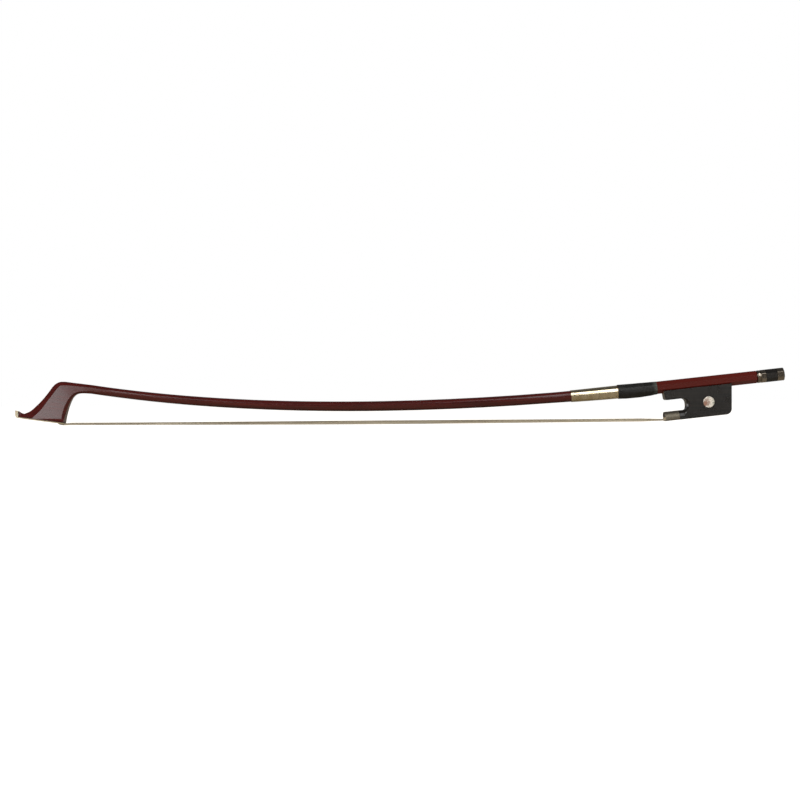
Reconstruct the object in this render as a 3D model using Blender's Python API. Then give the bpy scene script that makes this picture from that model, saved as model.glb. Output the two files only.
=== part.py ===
"""Double bass bow of the French pattern, as separate pieces, in metres with +Z up.

The bow stands with its hair down. X runs from the tip to the button, and Y = 0 is its
plane of symmetry. Frog, screw and button are built in the handle's own frame: x along the
screw's axis towards the button, z away from the hair, with its origin at the butt end.
"""

import math

import bmesh
import bpy
from mathutils import Matrix, Vector
from mathutils.geometry import interpolate_bezier

# Whole bow
BOW_LENGTH = 0.7149
SEAT_GAP = 0.0003
GLUE_GAP = 0.0001
RUNNING_GAP = 0.00008
OVERCUT = 0.0020

# Stick
HANDLE_TILT = math.radians(5.95)
HANDLE_ACROSS = 0.0115
HANDLE_LENGTH = 0.1275
HANDLE_STRAIGHT_LENGTH = 0.085
HANDLE_BLEND_LENGTH = 0.0020
STICK_TIP_DIAMETER = 0.0081
STICK_GRIP_DIAMETER = 0.0099
GRIP_FLARE_LENGTH = 0.066
HEAD_TO_ROUND_LENGTH = 0.026
HEAD_AXIS_HEIGHT = 0.0329
HEAD_AXIS_FALL = math.radians(8.9)
BUTT_CHAMFER = 0.0008
CAMBER_PULL_HEAD = 0.204
CAMBER_PULL_HANDLE = 0.1085

# Head, with places as (distance from the nose's end, height over the hair)
HEAD_LENGTH = 0.0715
HEAD_SEAT_HEIGHT = 0.0024
HEAD_SEAT_RISE = math.radians(7.7)
HEAD_WIDTH = 0.0128
NOSE_WIDTH = 0.0034
NOSE_TOP_WIDTH = 0.0018
THROAT_FACE_WIDTH = 0.0112
RIDGE_WIDTH = 0.0009
HEAD_THROAT_X = 0.0460
HEAD_CHEEK_REAR_X = 0.0436
HEAD_CHEEK_NOSE_X = 0.0166
HEAD_FRONT = ((0.0531, 0.0393), (0.0427, 0.0402), (0.0366, 0.0373), (0.0309, 0.0301),
              (0.0252, 0.0233), (0.0196, 0.0177), (0.0141, 0.0131), (0.0085, 0.0107))
CHEEK_FRONT = ((0.0552, 0.0362), (0.0437, 0.0367), (0.0401, 0.0340), (0.0361, 0.0289),
               (0.0304, 0.0215), (0.0254, 0.0146), (0.0209, 0.0102))
CHEEK_REAR = ((0.0619, 0.0312), (0.0566, 0.0299), (0.0528, 0.0271), (0.0498, 0.0230),
              (0.0469, 0.0173), (0.0454, 0.0126), (0.0444, 0.0080))
THROAT = ((0.0623, 0.0293), (0.0582, 0.0287), (0.0552, 0.0268), (0.0527, 0.0234),
          (0.0500, 0.0172), (0.0485, 0.0126), (0.0472, 0.0080))
NOSE_TOP = (0.0037, 0.0129)
NOSE_SAG = 0.27
NOSE_BOTTOM_X = 0.0033
PLATE_NOSE_TOP_Z = 0.0138

# Tip plate, its liner and the mortise in the head
LINER_THICKNESS = 0.0004
PLATE_THICKNESS = 0.0008
HEAD_MORTISE_FRONT_X = 0.0290
HEAD_MORTISE_REAR_X = 0.0405
HEAD_MORTISE_WIDTH = 0.0094
HEAD_MORTISE_DEPTH = 0.0095
HEAD_PLUG_SHARE = 0.55

# Hair
HAIR_WIDTH_MORTISE = 0.0086
HAIR_WIDTH_HEAD = 0.0104
HAIR_WIDTH_FROG = 0.0116
HAIR_THICKNESS_HEAD = 0.0018
HAIR_THICKNESS_FROG = 0.0013
HAIR_BEND_LENGTH = 0.0060
HAIR_RISE_LENGTH = 0.0028
WEDGE_THICKNESS = 0.0014
WEDGE_LENGTH = 0.0098
KNOT_INSET = 0.0010

# Winding and leather, measured along the stick from the butt end
WINDING_FRONT = 0.1735
WINDING_LENGTH = 0.0438
WINDING_THICKNESS = 0.0003
LEATHER_REAR = 0.0934
LEATHER_THICKNESS = 0.0009
LEATHER_THUMB_SWELL = 0.0004

# Frog, in the handle's frame
FROG_FRONT = -0.0880
FROG_HEEL_TOP = -0.0246
FROG_HEEL_BOTTOM = -0.0272
FROG_HEEL_RADIUS = 0.0055
FROG_TOP_Z = -0.0034
FROG_DEPTH = 0.0281
FROG_TOP_WIDTH = 0.0128
FROG_BOTTOM_WIDTH = 0.0140
FROG_EDGE_BEVEL = 0.0003
TONGUE_DEPTH = 0.0088
TONGUE_NOSE_RADIUS = 0.0020
TONGUE_LEAN = 0.0006
THROAT_LENGTH = 0.0199
THROAT_RADIUS = 0.0036
COVE_RADIUS = 0.0086
COVE_HEIGHT = 0.0146
COVE_BITE = 0.0030
UNDERSLIDE_THICKNESS = 0.0005

# Ferrule
FERRULE_FRONT = -0.0891
FERRULE_LENGTH = 0.0133
FERRULE_WIDTH = 0.0136
FERRULE_HEIGHT = 0.0085
FERRULE_WALL = 0.0005
FERRULE_SHOULDER = 0.0030
FERRULE_CORNER = 0.0009

# Hair mortise, slide and eye in the frog
FROG_MORTISE_FRONT = -0.0655
FROG_MORTISE_LENGTH = 0.0100
FROG_MORTISE_WIDTH = 0.0100
FROG_MORTISE_DEPTH = 0.0085
FROG_KNOT_DIAMETER = 0.0036
SLIDE_REAR = -0.0345
SLIDE_WIDTH = 0.0106
SLIDE_DOVETAIL = 0.0006
SLIDE_BACKING_THICKNESS = 0.0013
SLIDE_PEARL_THICKNESS = 0.0009
EYE_X = -0.0476
EYE_Z = -0.0182
EYE_DIAMETER = 0.0105
EYE_THICKNESS = 0.0012

# Eyelet, screw and button
EYELET_X = -0.0570
EYELET_LENGTH = 0.0062
EYELET_WIDTH = 0.0052
EYELET_SHANK_DIAMETER = 0.0034
EYELET_SHANK_LENGTH = 0.0085
SCREW_DIAMETER = 0.0036
SCREW_NIPPLE_DIAMETER = 0.0026
SCREW_NIPPLE_LENGTH = 0.0110
SCREW_TANG_ACROSS = 0.0028
TRAVEL_FORWARD = 0.0040
TRAVEL_BACK = 0.0060
SLOT_SPARE = 0.0010
LINING_SCREW_DIAMETER = 0.0016
LINING_SCREW_LENGTH = 0.0046
LINING_SCREW_INSET = 0.0075
BUTTON_ACROSS = 0.0118
BUTTON_RING_FRONT_LENGTH = 0.0080
BUTTON_COLLAR_LENGTH = 0.0033
BUTTON_COLLAR_ROUNDING = 0.0007
BUTTON_GROOVE_WIDTH = 0.0004
BUTTON_GROOVE_DEPTH = 0.0006
BUTTON_EBONY_LENGTH = 0.0105
BUTTON_RING_BACK_LENGTH = 0.0069
BUTTON_NECK_DIAMETER = 0.0092
BUTTON_END_CHAMFER = 0.0007
BUTTON_END_RECESS = 0.0003
BUTTON_END_DOME = 0.0005

# Facets
SIDES = 24
ROUND_STEPS = 32
HEAD_STEPS = 3
STICK_STEPS = 26
FLARE_STEPS = 8
HANDLE_STEPS = 3
THROAT_STEPS = 8
DOME_STEPS = 16
COVE_STEPS = 32
NOSE_STEPS = 8
HAIR_STEPS = 8
GRIP_STEPS = 10

# Places worked out from the sizes above
NOSE_X = -BOW_LENGTH / 2
BUTTON_LENGTH = BUTTON_RING_FRONT_LENGTH + BUTTON_EBONY_LENGTH + BUTTON_RING_BACK_LENGTH
BUTTON_END_LIFT = (BUTTON_ACROSS / 2 - BUTTON_END_CHAMFER) * math.sin(HANDLE_TILT)
FROG_BOTTOM_Z = FROG_TOP_Z - FROG_DEPTH
FERRULE_BOTTOM_Z = FROG_BOTTOM_Z + 0.5 * GLUE_GAP
FERRULE_TOP_Z = FERRULE_BOTTOM_Z + FERRULE_HEIGHT
FERRULE_REAR = FERRULE_FRONT + FERRULE_LENGTH
TONGUE_UNDER_Z = FROG_TOP_Z - TONGUE_DEPTH
THROAT_WALL_X = FROG_FRONT + THROAT_LENGTH
BUTT_X = BOW_LENGTH / 2 - BUTTON_LENGTH * math.cos(HANDLE_TILT) - BUTTON_END_LIFT
BUTT_Z = -FERRULE_FRONT * math.sin(HANDLE_TILT) - FERRULE_BOTTOM_Z * math.cos(HANDLE_TILT)
HANDLE_FRAME = (
    Matrix.Translation((BUTT_X, 0, BUTT_Z)) @ Matrix.Rotation(-HANDLE_TILT, 4, "Y")
)
OCTAGON_SIDE = math.tan(math.radians(22.5))


def clear_scene():
    for item in list(bpy.data.objects):
        bpy.data.objects.remove(item, do_unlink=True)


def finish(name, colour, roughness, metallic=0.0):
    material = bpy.data.materials.new(name)
    material.use_nodes = True
    shader = material.node_tree.nodes["Principled BSDF"]
    shader.inputs["Base Color"].default_value = (*colour, 1.0)
    shader.inputs["Roughness"].default_value = roughness
    shader.inputs["Metallic"].default_value = metallic
    return material


def add_object(name, bm, material=None, parent=None, smooth=False, sharp=32):
    """Turns a bmesh into a named object, in the world or under a parent."""
    bmesh.ops.recalc_face_normals(bm, faces=bm.faces)
    mesh = bpy.data.meshes.new(name)
    bm.to_mesh(mesh)
    bm.free()
    item = bpy.data.objects.new(name, mesh)
    bpy.context.scene.collection.objects.link(item)
    if material:
        mesh.materials.append(material)
    if smooth:
        mesh.shade_smooth()
        mesh.set_sharp_from_angle(angle=math.radians(sharp))
    if parent:
        item.parent = parent
    return item


def add_cutter(name, bm, parent=None):
    cutter = add_object(name, bm, parent=parent)
    cutter.hide_render = True
    cutter.display_type = "WIRE"
    return cutter


def cut(target, cutter, operation="DIFFERENCE"):
    modifier = target.modifiers.new(cutter.name, "BOOLEAN")
    modifier.operation = operation
    modifier.solver = "EXACT"
    modifier.object = cutter
    return modifier


def add_empty(name, matrix, parent=None):
    empty = bpy.data.objects.new(name, None)
    bpy.context.scene.collection.objects.link(empty)
    empty.parent = parent
    empty.matrix_local = matrix
    empty.empty_display_size = 0.01
    return empty


def box(x_range, y_range, z_range):
    bm = bmesh.new()
    bmesh.ops.create_cube(bm, size=1.0)
    for vertex in bm.verts:
        for axis, (low, high) in enumerate((x_range, y_range, z_range)):
            vertex.co[axis] = low if vertex.co[axis] < 0 else high
    return bm


def cylinder(start, end, diameter, segments=ROUND_STEPS):
    """A closed cylinder between two points."""
    start = Vector(start)
    end = Vector(end)
    axis = end - start
    turn = axis.to_track_quat("Z", "Y").to_matrix().to_4x4()
    bm = bmesh.new()
    bmesh.ops.create_cone(
        bm,
        cap_ends=True,
        segments=segments,
        radius1=diameter / 2,
        radius2=diameter / 2,
        depth=axis.length,
        matrix=Matrix.Translation((start + end) / 2) @ turn,
    )
    return bm


def extrude_side(points, half_width):
    """A side outline of (x, z) made a slab, as wide as half_width or its function of z."""
    bm = bmesh.new()
    width_at = half_width if callable(half_width) else lambda z: half_width
    near = [bm.verts.new((x, -width_at(z), z)) for x, z in points]
    far = [bm.verts.new((x, width_at(z), z)) for x, z in points]
    bm.faces.new(near)
    bm.faces.new(reversed(far))
    for i in range(len(points)):
        j = (i + 1) % len(points)
        bm.faces.new((near[i], far[i], far[j], near[j]))
    return bm


def extrude_section(points, x_start, x_end):
    """A cross-section of (y, z) drawn out along x."""
    bm = bmesh.new()
    front = [bm.verts.new((x_start, y, z)) for y, z in points]
    rear = [bm.verts.new((x_end, y, z)) for y, z in points]
    bm.faces.new(front)
    bm.faces.new(reversed(rear))
    for i in range(len(points)):
        j = (i + 1) % len(points)
        bm.faces.new((front[i], rear[i], rear[j], front[j]))
    return bm


def bridge(bm, first, second):
    """Joins two rings of the same number of vertices with quads."""
    for i in range(len(first)):
        j = (i + 1) % len(first)
        bm.faces.new((first[i], first[j], second[j], second[i]))


def loft(rings):
    """A closed solid through rings of points, with flat ends."""
    bm = bmesh.new()
    loops = [[bm.verts.new(point) for point in ring] for ring in rings]
    for first, second in zip(loops, loops[1:]):
        bridge(bm, first, second)
    bm.faces.new(reversed(loops[0]))
    bm.faces.new(loops[-1])
    return bm


def tube_loft(outer_rings, inner_rings):
    """A sleeve between two sets of rings, open at both ends."""
    bm = bmesh.new()
    outer = [[bm.verts.new(point) for point in ring] for ring in outer_rings]
    inner = [[bm.verts.new(point) for point in ring] for ring in inner_rings]
    for first, second in zip(outer, outer[1:]):
        bridge(bm, first, second)
    for first, second in zip(inner, inner[1:]):
        bridge(bm, second, first)
    bridge(bm, inner[0], outer[0])
    bridge(bm, outer[-1], inner[-1])
    return bm


def arc(centre, radius, start_degrees, end_degrees, steps):
    """Points of (x, z) on an arc, both ends included."""
    points = []
    for i in range(steps + 1):
        angle = math.radians(start_degrees + (end_degrees - start_degrees) * i / steps)
        points.append((centre[0] + radius * math.cos(angle), centre[1] + radius * math.sin(angle)))
    return points


def ease(value):
    value = min(max(value, 0.0), 1.0)
    return value * value * (3 - 2 * value)


def smooth_through(points, steps):
    """A smooth curve through the points, with so many steps between each two."""
    knots = [Vector(point) for point in points]
    knots = [2 * knots[0] - knots[1]] + knots + [2 * knots[-1] - knots[-2]]
    curve = []
    for before, start, end, after in zip(knots, knots[1:], knots[2:], knots[3:]):
        pull = (end - start).length / 3
        leave = start + (end - before).normalized() * pull
        arrive = end - (after - start).normalized() * pull
        curve.extend(interpolate_bezier(start, leave, arrive, end, steps + 1)[:-1])
    return [point.copy() for point in curve] + [knots[-2].copy()]


def stick_axis():
    """Points of (x, z) down the stick's axis from the butt end to the head."""
    along = Vector((math.cos(HANDLE_TILT), math.sin(HANDLE_TILT)))
    butt = Vector((BUTT_X, BUTT_Z))
    handle_start = butt - along * HANDLE_STRAIGHT_LENGTH
    head = Vector((NOSE_X + HEAD_LENGTH, HEAD_AXIS_HEIGHT))
    fall = Vector((math.cos(HEAD_AXIS_FALL), -math.sin(HEAD_AXIS_FALL)))
    return [butt] + interpolate_bezier(
        handle_start,
        handle_start - along * CAMBER_PULL_HANDLE,
        head + fall * CAMBER_PULL_HEAD,
        head,
        400,
    )


AXIS = stick_axis()
AXIS_STEPS = [(b - a).length for a, b in zip(AXIS, AXIS[1:])]
AXIS_LENGTH = sum(AXIS_STEPS)


def axis_at(distance):
    """Point and direction towards the button, at a distance from the butt end."""
    left = distance
    last = len(AXIS_STEPS) - 1
    for i, step in enumerate(AXIS_STEPS):
        if left <= step or i == last:
            point = AXIS[i].lerp(AXIS[i + 1], left / step)
            break
        left -= step
    before = AXIS[max(i - 2, 0)]
    after = AXIS[min(i + 3, last + 1)]
    if distance <= HANDLE_STRAIGHT_LENGTH:
        before, after = AXIS[0], AXIS[1]
    return point, (before - after).normalized()


def stick_radius(distance):
    """Half the stick's thickness at a distance from the butt end."""
    shaft = AXIS_LENGTH - HANDLE_LENGTH - GRIP_FLARE_LENGTH
    along = (distance - HANDLE_LENGTH - GRIP_FLARE_LENGTH) / shaft
    taper = min(max(along, 0.0), 1.0)
    round_part = STICK_GRIP_DIAMETER + (STICK_TIP_DIAMETER - STICK_GRIP_DIAMETER) * taper
    flare = ease((HANDLE_LENGTH + GRIP_FLARE_LENGTH - distance) / GRIP_FLARE_LENGTH)
    return (round_part + (HANDLE_ACROSS - round_part) * flare) / 2


def stick_squareness(distance):
    """1 where the stick is octagonal, 0 where it is round."""
    handle = ease((HANDLE_LENGTH + 0.8 * GRIP_FLARE_LENGTH - distance) / (0.8 * GRIP_FLARE_LENGTH))
    head = ease(1 - (AXIS_LENGTH - distance) / HEAD_TO_ROUND_LENGTH)
    return max(handle, 0.92 * head)


def section_radius(angle_degrees, radius, squareness):
    off_flat = (angle_degrees + 22.5) % 45 - 22.5
    return radius * (1 - squareness + squareness / math.cos(math.radians(off_flat)))


def stick_ring(distance, grow=0.0, squareness=None, sides=SIDES, swell=None):
    """A ring of the stick's section, its first point on the octagon's corner above +Y."""
    centre, direction = axis_at(distance)
    up = Vector((-direction.y, direction.x))
    square = stick_squareness(distance) if squareness is None else squareness
    ring = []
    for i in range(sides):
        angle = 22.5 + 360 * i / sides
        radius = section_radius(angle, stick_radius(distance), square) + grow
        if swell:
            radius += swell(angle)
        across = radius * math.cos(math.radians(angle))
        rise = up * radius * math.sin(math.radians(angle))
        ring.append(Vector((centre.x + rise.x, across, centre.y + rise.y)))
    return ring


def seat_z(x):
    """Height of the head's flat seat at a distance from the nose's end."""
    return HEAD_SEAT_HEIGHT + (HEAD_THROAT_X - x) * math.tan(HEAD_SEAT_RISE)


def cheek_half_width(z):
    """Half the head's thickness, which flares towards the plate."""
    low = seat_z(HEAD_CHEEK_REAR_X)
    fall = 1 - min(max((z - low) / (HEAD_AXIS_HEIGHT - low), 0.0), 1.0)
    return (STICK_TIP_DIAMETER + (HEAD_WIDTH - STICK_TIP_DIAMETER) * fall**1.25) / 2


def head_guides(join):
    """The head's four guide curves, from the stick down to the seat, as (x, z)."""
    corner = {
        "front": HEAD_FRONT,
        "cheek_front": CHEEK_FRONT + ((HEAD_CHEEK_NOSE_X, seat_z(HEAD_CHEEK_NOSE_X)),),
        "cheek_rear": CHEEK_REAR + ((HEAD_CHEEK_REAR_X, seat_z(HEAD_CHEEK_REAR_X)),),
        "throat": THROAT + ((HEAD_THROAT_X, seat_z(HEAD_THROAT_X)),),
    }
    guides = {}
    for name, point in join.items():
        start = (point.x, point.z)
        rest = [(NOSE_X + x, z) for x, z in corner[name]]
        guides[name] = smooth_through([start] + rest, HEAD_STEPS)
    return guides


def head_widths(down, z_throat):
    """Half-widths of the ridge and of the throat's face at a share of the way down the head."""
    join_half = OCTAGON_SIDE * STICK_TIP_DIAMETER / 2
    ridge = join_half + (RIDGE_WIDTH / 2 - join_half) * ease(down / 0.45)
    low = seat_z(HEAD_THROAT_X)
    up = min(max((z_throat - low) / (HEAD_AXIS_HEIGHT - low), 0.0), 1.0)
    face = THROAT_FACE_WIDTH / 2 + (join_half - THROAT_FACE_WIDTH / 2) * up**0.85
    return ridge, face


def build_stick_mesh():
    """Head, round shaft and octagonal handle as one closed surface."""
    bm = bmesh.new()
    ends = [AXIS_LENGTH - HEAD_TO_ROUND_LENGTH * i / 4 for i in range(4)]
    middle_start = AXIS_LENGTH - HEAD_TO_ROUND_LENGTH
    middle = middle_start - HANDLE_LENGTH - GRIP_FLARE_LENGTH
    ends += [middle_start - middle * i / STICK_STEPS for i in range(STICK_STEPS)]
    ends += [
        HANDLE_LENGTH + GRIP_FLARE_LENGTH * (1 - i / FLARE_STEPS) for i in range(FLARE_STEPS + 1)
    ]
    rings = [[bm.verts.new(point) for point in stick_ring(distance)] for distance in ends]
    for first, second in zip(rings, rings[1:]):
        bridge(bm, first, second)
    corner_rings = []
    octagon_start = HANDLE_LENGTH - HANDLE_BLEND_LENGTH
    curved = octagon_start - HANDLE_STRAIGHT_LENGTH
    places = [(octagon_start - curved * i / HANDLE_STEPS, 0.0) for i in range(HANDLE_STEPS + 1)]
    places += [(BUTT_CHAMFER, 0.0), (0.0, -BUTT_CHAMFER)]
    for distance, grow in places:
        points = stick_ring(distance, grow=grow, squareness=1.0, sides=8)
        corner_rings.append([bm.verts.new(point) for point in points])
    for first, second in zip(corner_rings, corner_rings[1:]):
        bridge(bm, first, second)
    bm.faces.new(corner_rings[-1])
    add_flat_transition(bm, rings[-1], corner_rings[0])
    add_head_surface(bm, rings[0])
    return bm


def add_flat_transition(bm, fine, coarse):
    """Joins a ring with three points a side to a ring with one."""
    for i in range(8):
        a, b, c, d = (fine[(3 * i + k) % SIDES] for k in range(4))
        near, far = coarse[i], coarse[(i + 1) % 8]
        for face in ((a, b, near), (b, c, near), (c, far, near), (c, d, far)):
            bm.faces.new(face)


def add_head_surface(bm, ring):
    """Head faces, from the stick's first ring down to the seat and out to the nose."""
    corners = ring[::3]
    join = dict(zip(("cheek_front", "front"), corners[:2]))
    join["cheek_rear"] = corners[7]
    join["throat"] = corners[6]
    guides = head_guides({name: vertex.co for name, vertex in join.items()})
    last = len(guides["front"]) - 1
    levels = []
    for i in range(1, last + 1):
        front, cheek_front, cheek_rear, throat = (
            guides[name][i] for name in ("front", "cheek_front", "cheek_rear", "throat")
        )
        ridge, face = head_widths(i / last, throat.y)
        around = (
            (cheek_front, cheek_half_width(cheek_front.y)),
            (front, ridge),
            (front, -ridge),
            (cheek_front, -cheek_half_width(cheek_front.y)),
            (cheek_rear, -cheek_half_width(cheek_rear.y)),
            (throat, -face),
            (throat, face),
            (cheek_rear, cheek_half_width(cheek_rear.y)),
        )
        levels.append([bm.verts.new((point.x, half, point.y)) for point, half in around])
    add_flat_transition(bm, ring, levels[0])
    for first, second in zip(levels, levels[1:]):
        bridge(bm, first, second)
    add_nose(bm, levels[-1])


def seat_half_width(x):
    """Half the seat's width in plan, which closes in a pointed arch towards the nose."""
    along = (x - NOSE_BOTTOM_X) / (HEAD_CHEEK_NOSE_X - NOSE_BOTTOM_X)
    arch = math.sin(math.pi / 2 * min(max(along, 0.0), 1.0))
    return (NOSE_WIDTH + (HEAD_WIDTH - NOSE_WIDTH) * arch) / 2


def nose_places():
    """Places along the seat's edge ahead of the cheeks, ending at the nose."""
    length = HEAD_CHEEK_NOSE_X - NOSE_BOTTOM_X
    return [HEAD_CHEEK_NOSE_X - length * i / NOSE_STEPS for i in range(1, NOSE_STEPS + 1)]


def add_nose(bm, seat_level):
    """The curled nose ahead of the cheeks, and the flat seat under the head."""
    valley = seat_level[1].co
    top_x = NOSE_X + NOSE_TOP[0]
    middle = ((valley.x + top_x) / 2, valley.z + NOSE_SAG * (NOSE_TOP[1] - valley.z))
    curl = smooth_through([(valley.x, valley.z), middle, (top_x, NOSE_TOP[1])], NOSE_STEPS // 2)
    right_cheek, right_ridge, left_ridge, left_cheek = seat_level[:4]
    sides = []
    for side, cheek, ridge_start in ((1, right_cheek, right_ridge), (-1, left_cheek, left_ridge)):
        ridge = [ridge_start]
        for i, point in enumerate(curl[1:], 1):
            width = RIDGE_WIDTH + (NOSE_TOP_WIDTH - RIDGE_WIDTH) * i / NOSE_STEPS
            ridge.append(bm.verts.new((point.x, side * width / 2, point.y)))
        edge = [cheek]
        for x in nose_places():
            edge.append(bm.verts.new((NOSE_X + x, side * seat_half_width(x), seat_z(x))))
        for i in range(NOSE_STEPS):
            bm.faces.new((ridge[i], ridge[i + 1], edge[i + 1]))
            bm.faces.new((ridge[i], edge[i + 1], edge[i]))
        sides.append((ridge, edge))
    (right_ridge, right_edge), (left_ridge, left_edge) = sides
    for i in range(NOSE_STEPS):
        bm.faces.new((right_ridge[i], left_ridge[i], left_ridge[i + 1], right_ridge[i + 1]))
    bm.faces.new((right_ridge[-1], left_ridge[-1], left_edge[-1], right_edge[-1]))
    bm.faces.new(right_edge + left_edge[::-1] + seat_level[4:])


def mortise_box():
    """The head mortise, open at the seat."""
    half = HEAD_MORTISE_WIDTH / 2
    return box(
        (NOSE_X + HEAD_MORTISE_FRONT_X, NOSE_X + HEAD_MORTISE_REAR_X),
        (-half, half),
        (-OVERCUT, seat_z(HEAD_MORTISE_FRONT_X) + HEAD_MORTISE_DEPTH),
    )


def eyelet_slot_x():
    """Front and rear ends of the slot that the eyelet travels in."""
    front = EYELET_X - EYELET_LENGTH / 2 - TRAVEL_FORWARD - SLOT_SPARE
    rear = EYELET_X + EYELET_LENGTH / 2 + TRAVEL_BACK + SLOT_SPARE
    return front, rear


def make_stick(wood, handle):
    stick = add_object("stick", build_stick_mesh(), wood, smooth=True, sharp=19)
    front, rear = eyelet_slot_x()
    half = EYELET_WIDTH / 2 + SEAT_GAP
    slot = box((front, rear), (-half, half), (-HANDLE_ACROSS, EYELET_WIDTH / 2 + 2 * SEAT_GAP))
    bore = cylinder((rear - OVERCUT, 0, 0), (OVERCUT, 0, 0), SCREW_DIAMETER + 2 * RUNNING_GAP)
    nipple_end = front - SCREW_NIPPLE_LENGTH - 2 * SEAT_GAP
    nipple_bore = cylinder(
        (nipple_end, 0, 0), (front + OVERCUT, 0, 0), SCREW_NIPPLE_DIAMETER + 2 * RUNNING_GAP
    )
    cut(stick, add_cutter("cut_eyelet_slot", slot, handle))
    cut(stick, add_cutter("cut_screw_bore", bore, handle))
    cut(stick, add_cutter("cut_nipple_bore", nipple_bore, handle))
    cut(stick, add_cutter("cut_head_mortise", mortise_box()))
    return stick


def sheet_under_head(depth, thickness, nose_thickness, nose_rise):
    """A thin layer under the seat that curls up in front of the nose."""
    slope = math.cos(HEAD_SEAT_RISE)
    inner_drop = depth / slope
    outer_drop = (depth + thickness) / slope
    places = [(HEAD_THROAT_X, THROAT_FACE_WIDTH / 2), (HEAD_CHEEK_REAR_X, HEAD_WIDTH / 2)]
    places += [(x, seat_half_width(x)) for x in [HEAD_CHEEK_NOSE_X] + nose_places()[:-1]]
    stations = []
    for x, half in places:
        z = seat_z(x)
        stations.append(((x, z - inner_drop), (x, z - outer_drop), half))
    inner_x = NOSE_BOTTOM_X - depth
    outer_x = inner_x - nose_thickness
    low = seat_z(NOSE_BOTTOM_X)
    top = NOSE_TOP[1] + nose_rise
    middle = (low + top) / 2
    half = NOSE_WIDTH / 2
    top_half = NOSE_TOP_WIDTH / 2
    bend = min(nose_thickness, low - outer_drop)
    under = low - outer_drop
    stations += [
        ((inner_x, low - inner_drop), (outer_x + 0.6 * bend, under + 0.1 * bend), half),
        ((inner_x, low), (outer_x + 0.15 * bend, under + 0.55 * bend), 0.9 * half),
        ((inner_x, middle), (outer_x, middle - 0.2 * bend), (half + top_half) / 2),
        ((NOSE_TOP[0] - depth - 0.0003, top - 0.0007), (outer_x, top), top_half),
    ]
    rings = []
    for inner, outer, width in stations:
        rings.append(
            [
                (NOSE_X + inner[0], width, inner[1]),
                (NOSE_X + inner[0], -width, inner[1]),
                (NOSE_X + outer[0], -width, outer[1]),
                (NOSE_X + outer[0], width, outer[1]),
            ]
        )
    return loft(rings)


def plate_depths():
    """How far the liner, the plate and the plate's face lie under the seat."""
    liner = GLUE_GAP
    plate = liner + LINER_THICKNESS + GLUE_GAP
    return liner, plate, plate + PLATE_THICKNESS


def make_head_fittings(ebony, bone, plug_wood, thread):
    liner_depth, plate_depth, face_depth = plate_depths()
    liner = add_object(
        "tip_liner",
        sheet_under_head(liner_depth, LINER_THICKNESS, LINER_THICKNESS, 0.0003),
        ebony,
    )
    nose_thickness = NOSE_BOTTOM_X - plate_depth
    rise = PLATE_NOSE_TOP_Z - NOSE_TOP[1]
    plate = add_object(
        "tip_plate",
        sheet_under_head(plate_depth, PLATE_THICKNESS, nose_thickness, rise),
        bone,
    )
    mortise = add_cutter("cut_plate_mortise", mortise_box())
    cut(liner, mortise)
    cut(plate, mortise)

    half = HEAD_MORTISE_WIDTH / 2 - SEAT_GAP
    front = NOSE_X + HEAD_MORTISE_FRONT_X + SEAT_GAP
    hair_front = NOSE_X + HEAD_MORTISE_REAR_X - SEAT_GAP - HAIR_THICKNESS_HEAD
    mouth = seat_z(HEAD_MORTISE_FRONT_X) - face_depth
    roof = seat_z(HEAD_MORTISE_FRONT_X) + HEAD_MORTISE_DEPTH
    plug_top = mouth + HEAD_PLUG_SHARE * (roof - mouth)
    plug_side = [
        (front, mouth),
        (hair_front - SEAT_GAP, seat_z(HEAD_MORTISE_REAR_X - HAIR_THICKNESS_HEAD) - face_depth),
        (hair_front - SEAT_GAP, plug_top),
        (front, plug_top),
    ]
    add_object("head_plug", extrude_side(plug_side, half), plug_wood)
    middle_x = (front + hair_front) / 2
    middle_z = (plug_top + roof) / 2
    knot_half = half - KNOT_INSET
    knot = cylinder(
        (middle_x, -knot_half, middle_z),
        (middle_x, knot_half, middle_z),
        roof - plug_top - 2 * SEAT_GAP,
        16,
    )
    add_object("tip_hair_knot", knot, thread, smooth=True)
    return plug_top


def hair_levels():
    """Heights in the ferrule, in the handle's frame: hair, wedge and tongue, from the flat up."""
    hair_low = FERRULE_BOTTOM_Z + FERRULE_WALL + GLUE_GAP
    hair_high = hair_low + HAIR_THICKNESS_FROG
    wedge_low = hair_high + GLUE_GAP
    wedge_high = wedge_low + WEDGE_THICKNESS
    over_slide = slide_levels()[3] + HAIR_THICKNESS_FROG + 2 * GLUE_GAP
    return hair_low, hair_high, wedge_low, wedge_high, max(wedge_high + GLUE_GAP, over_slide)


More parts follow.
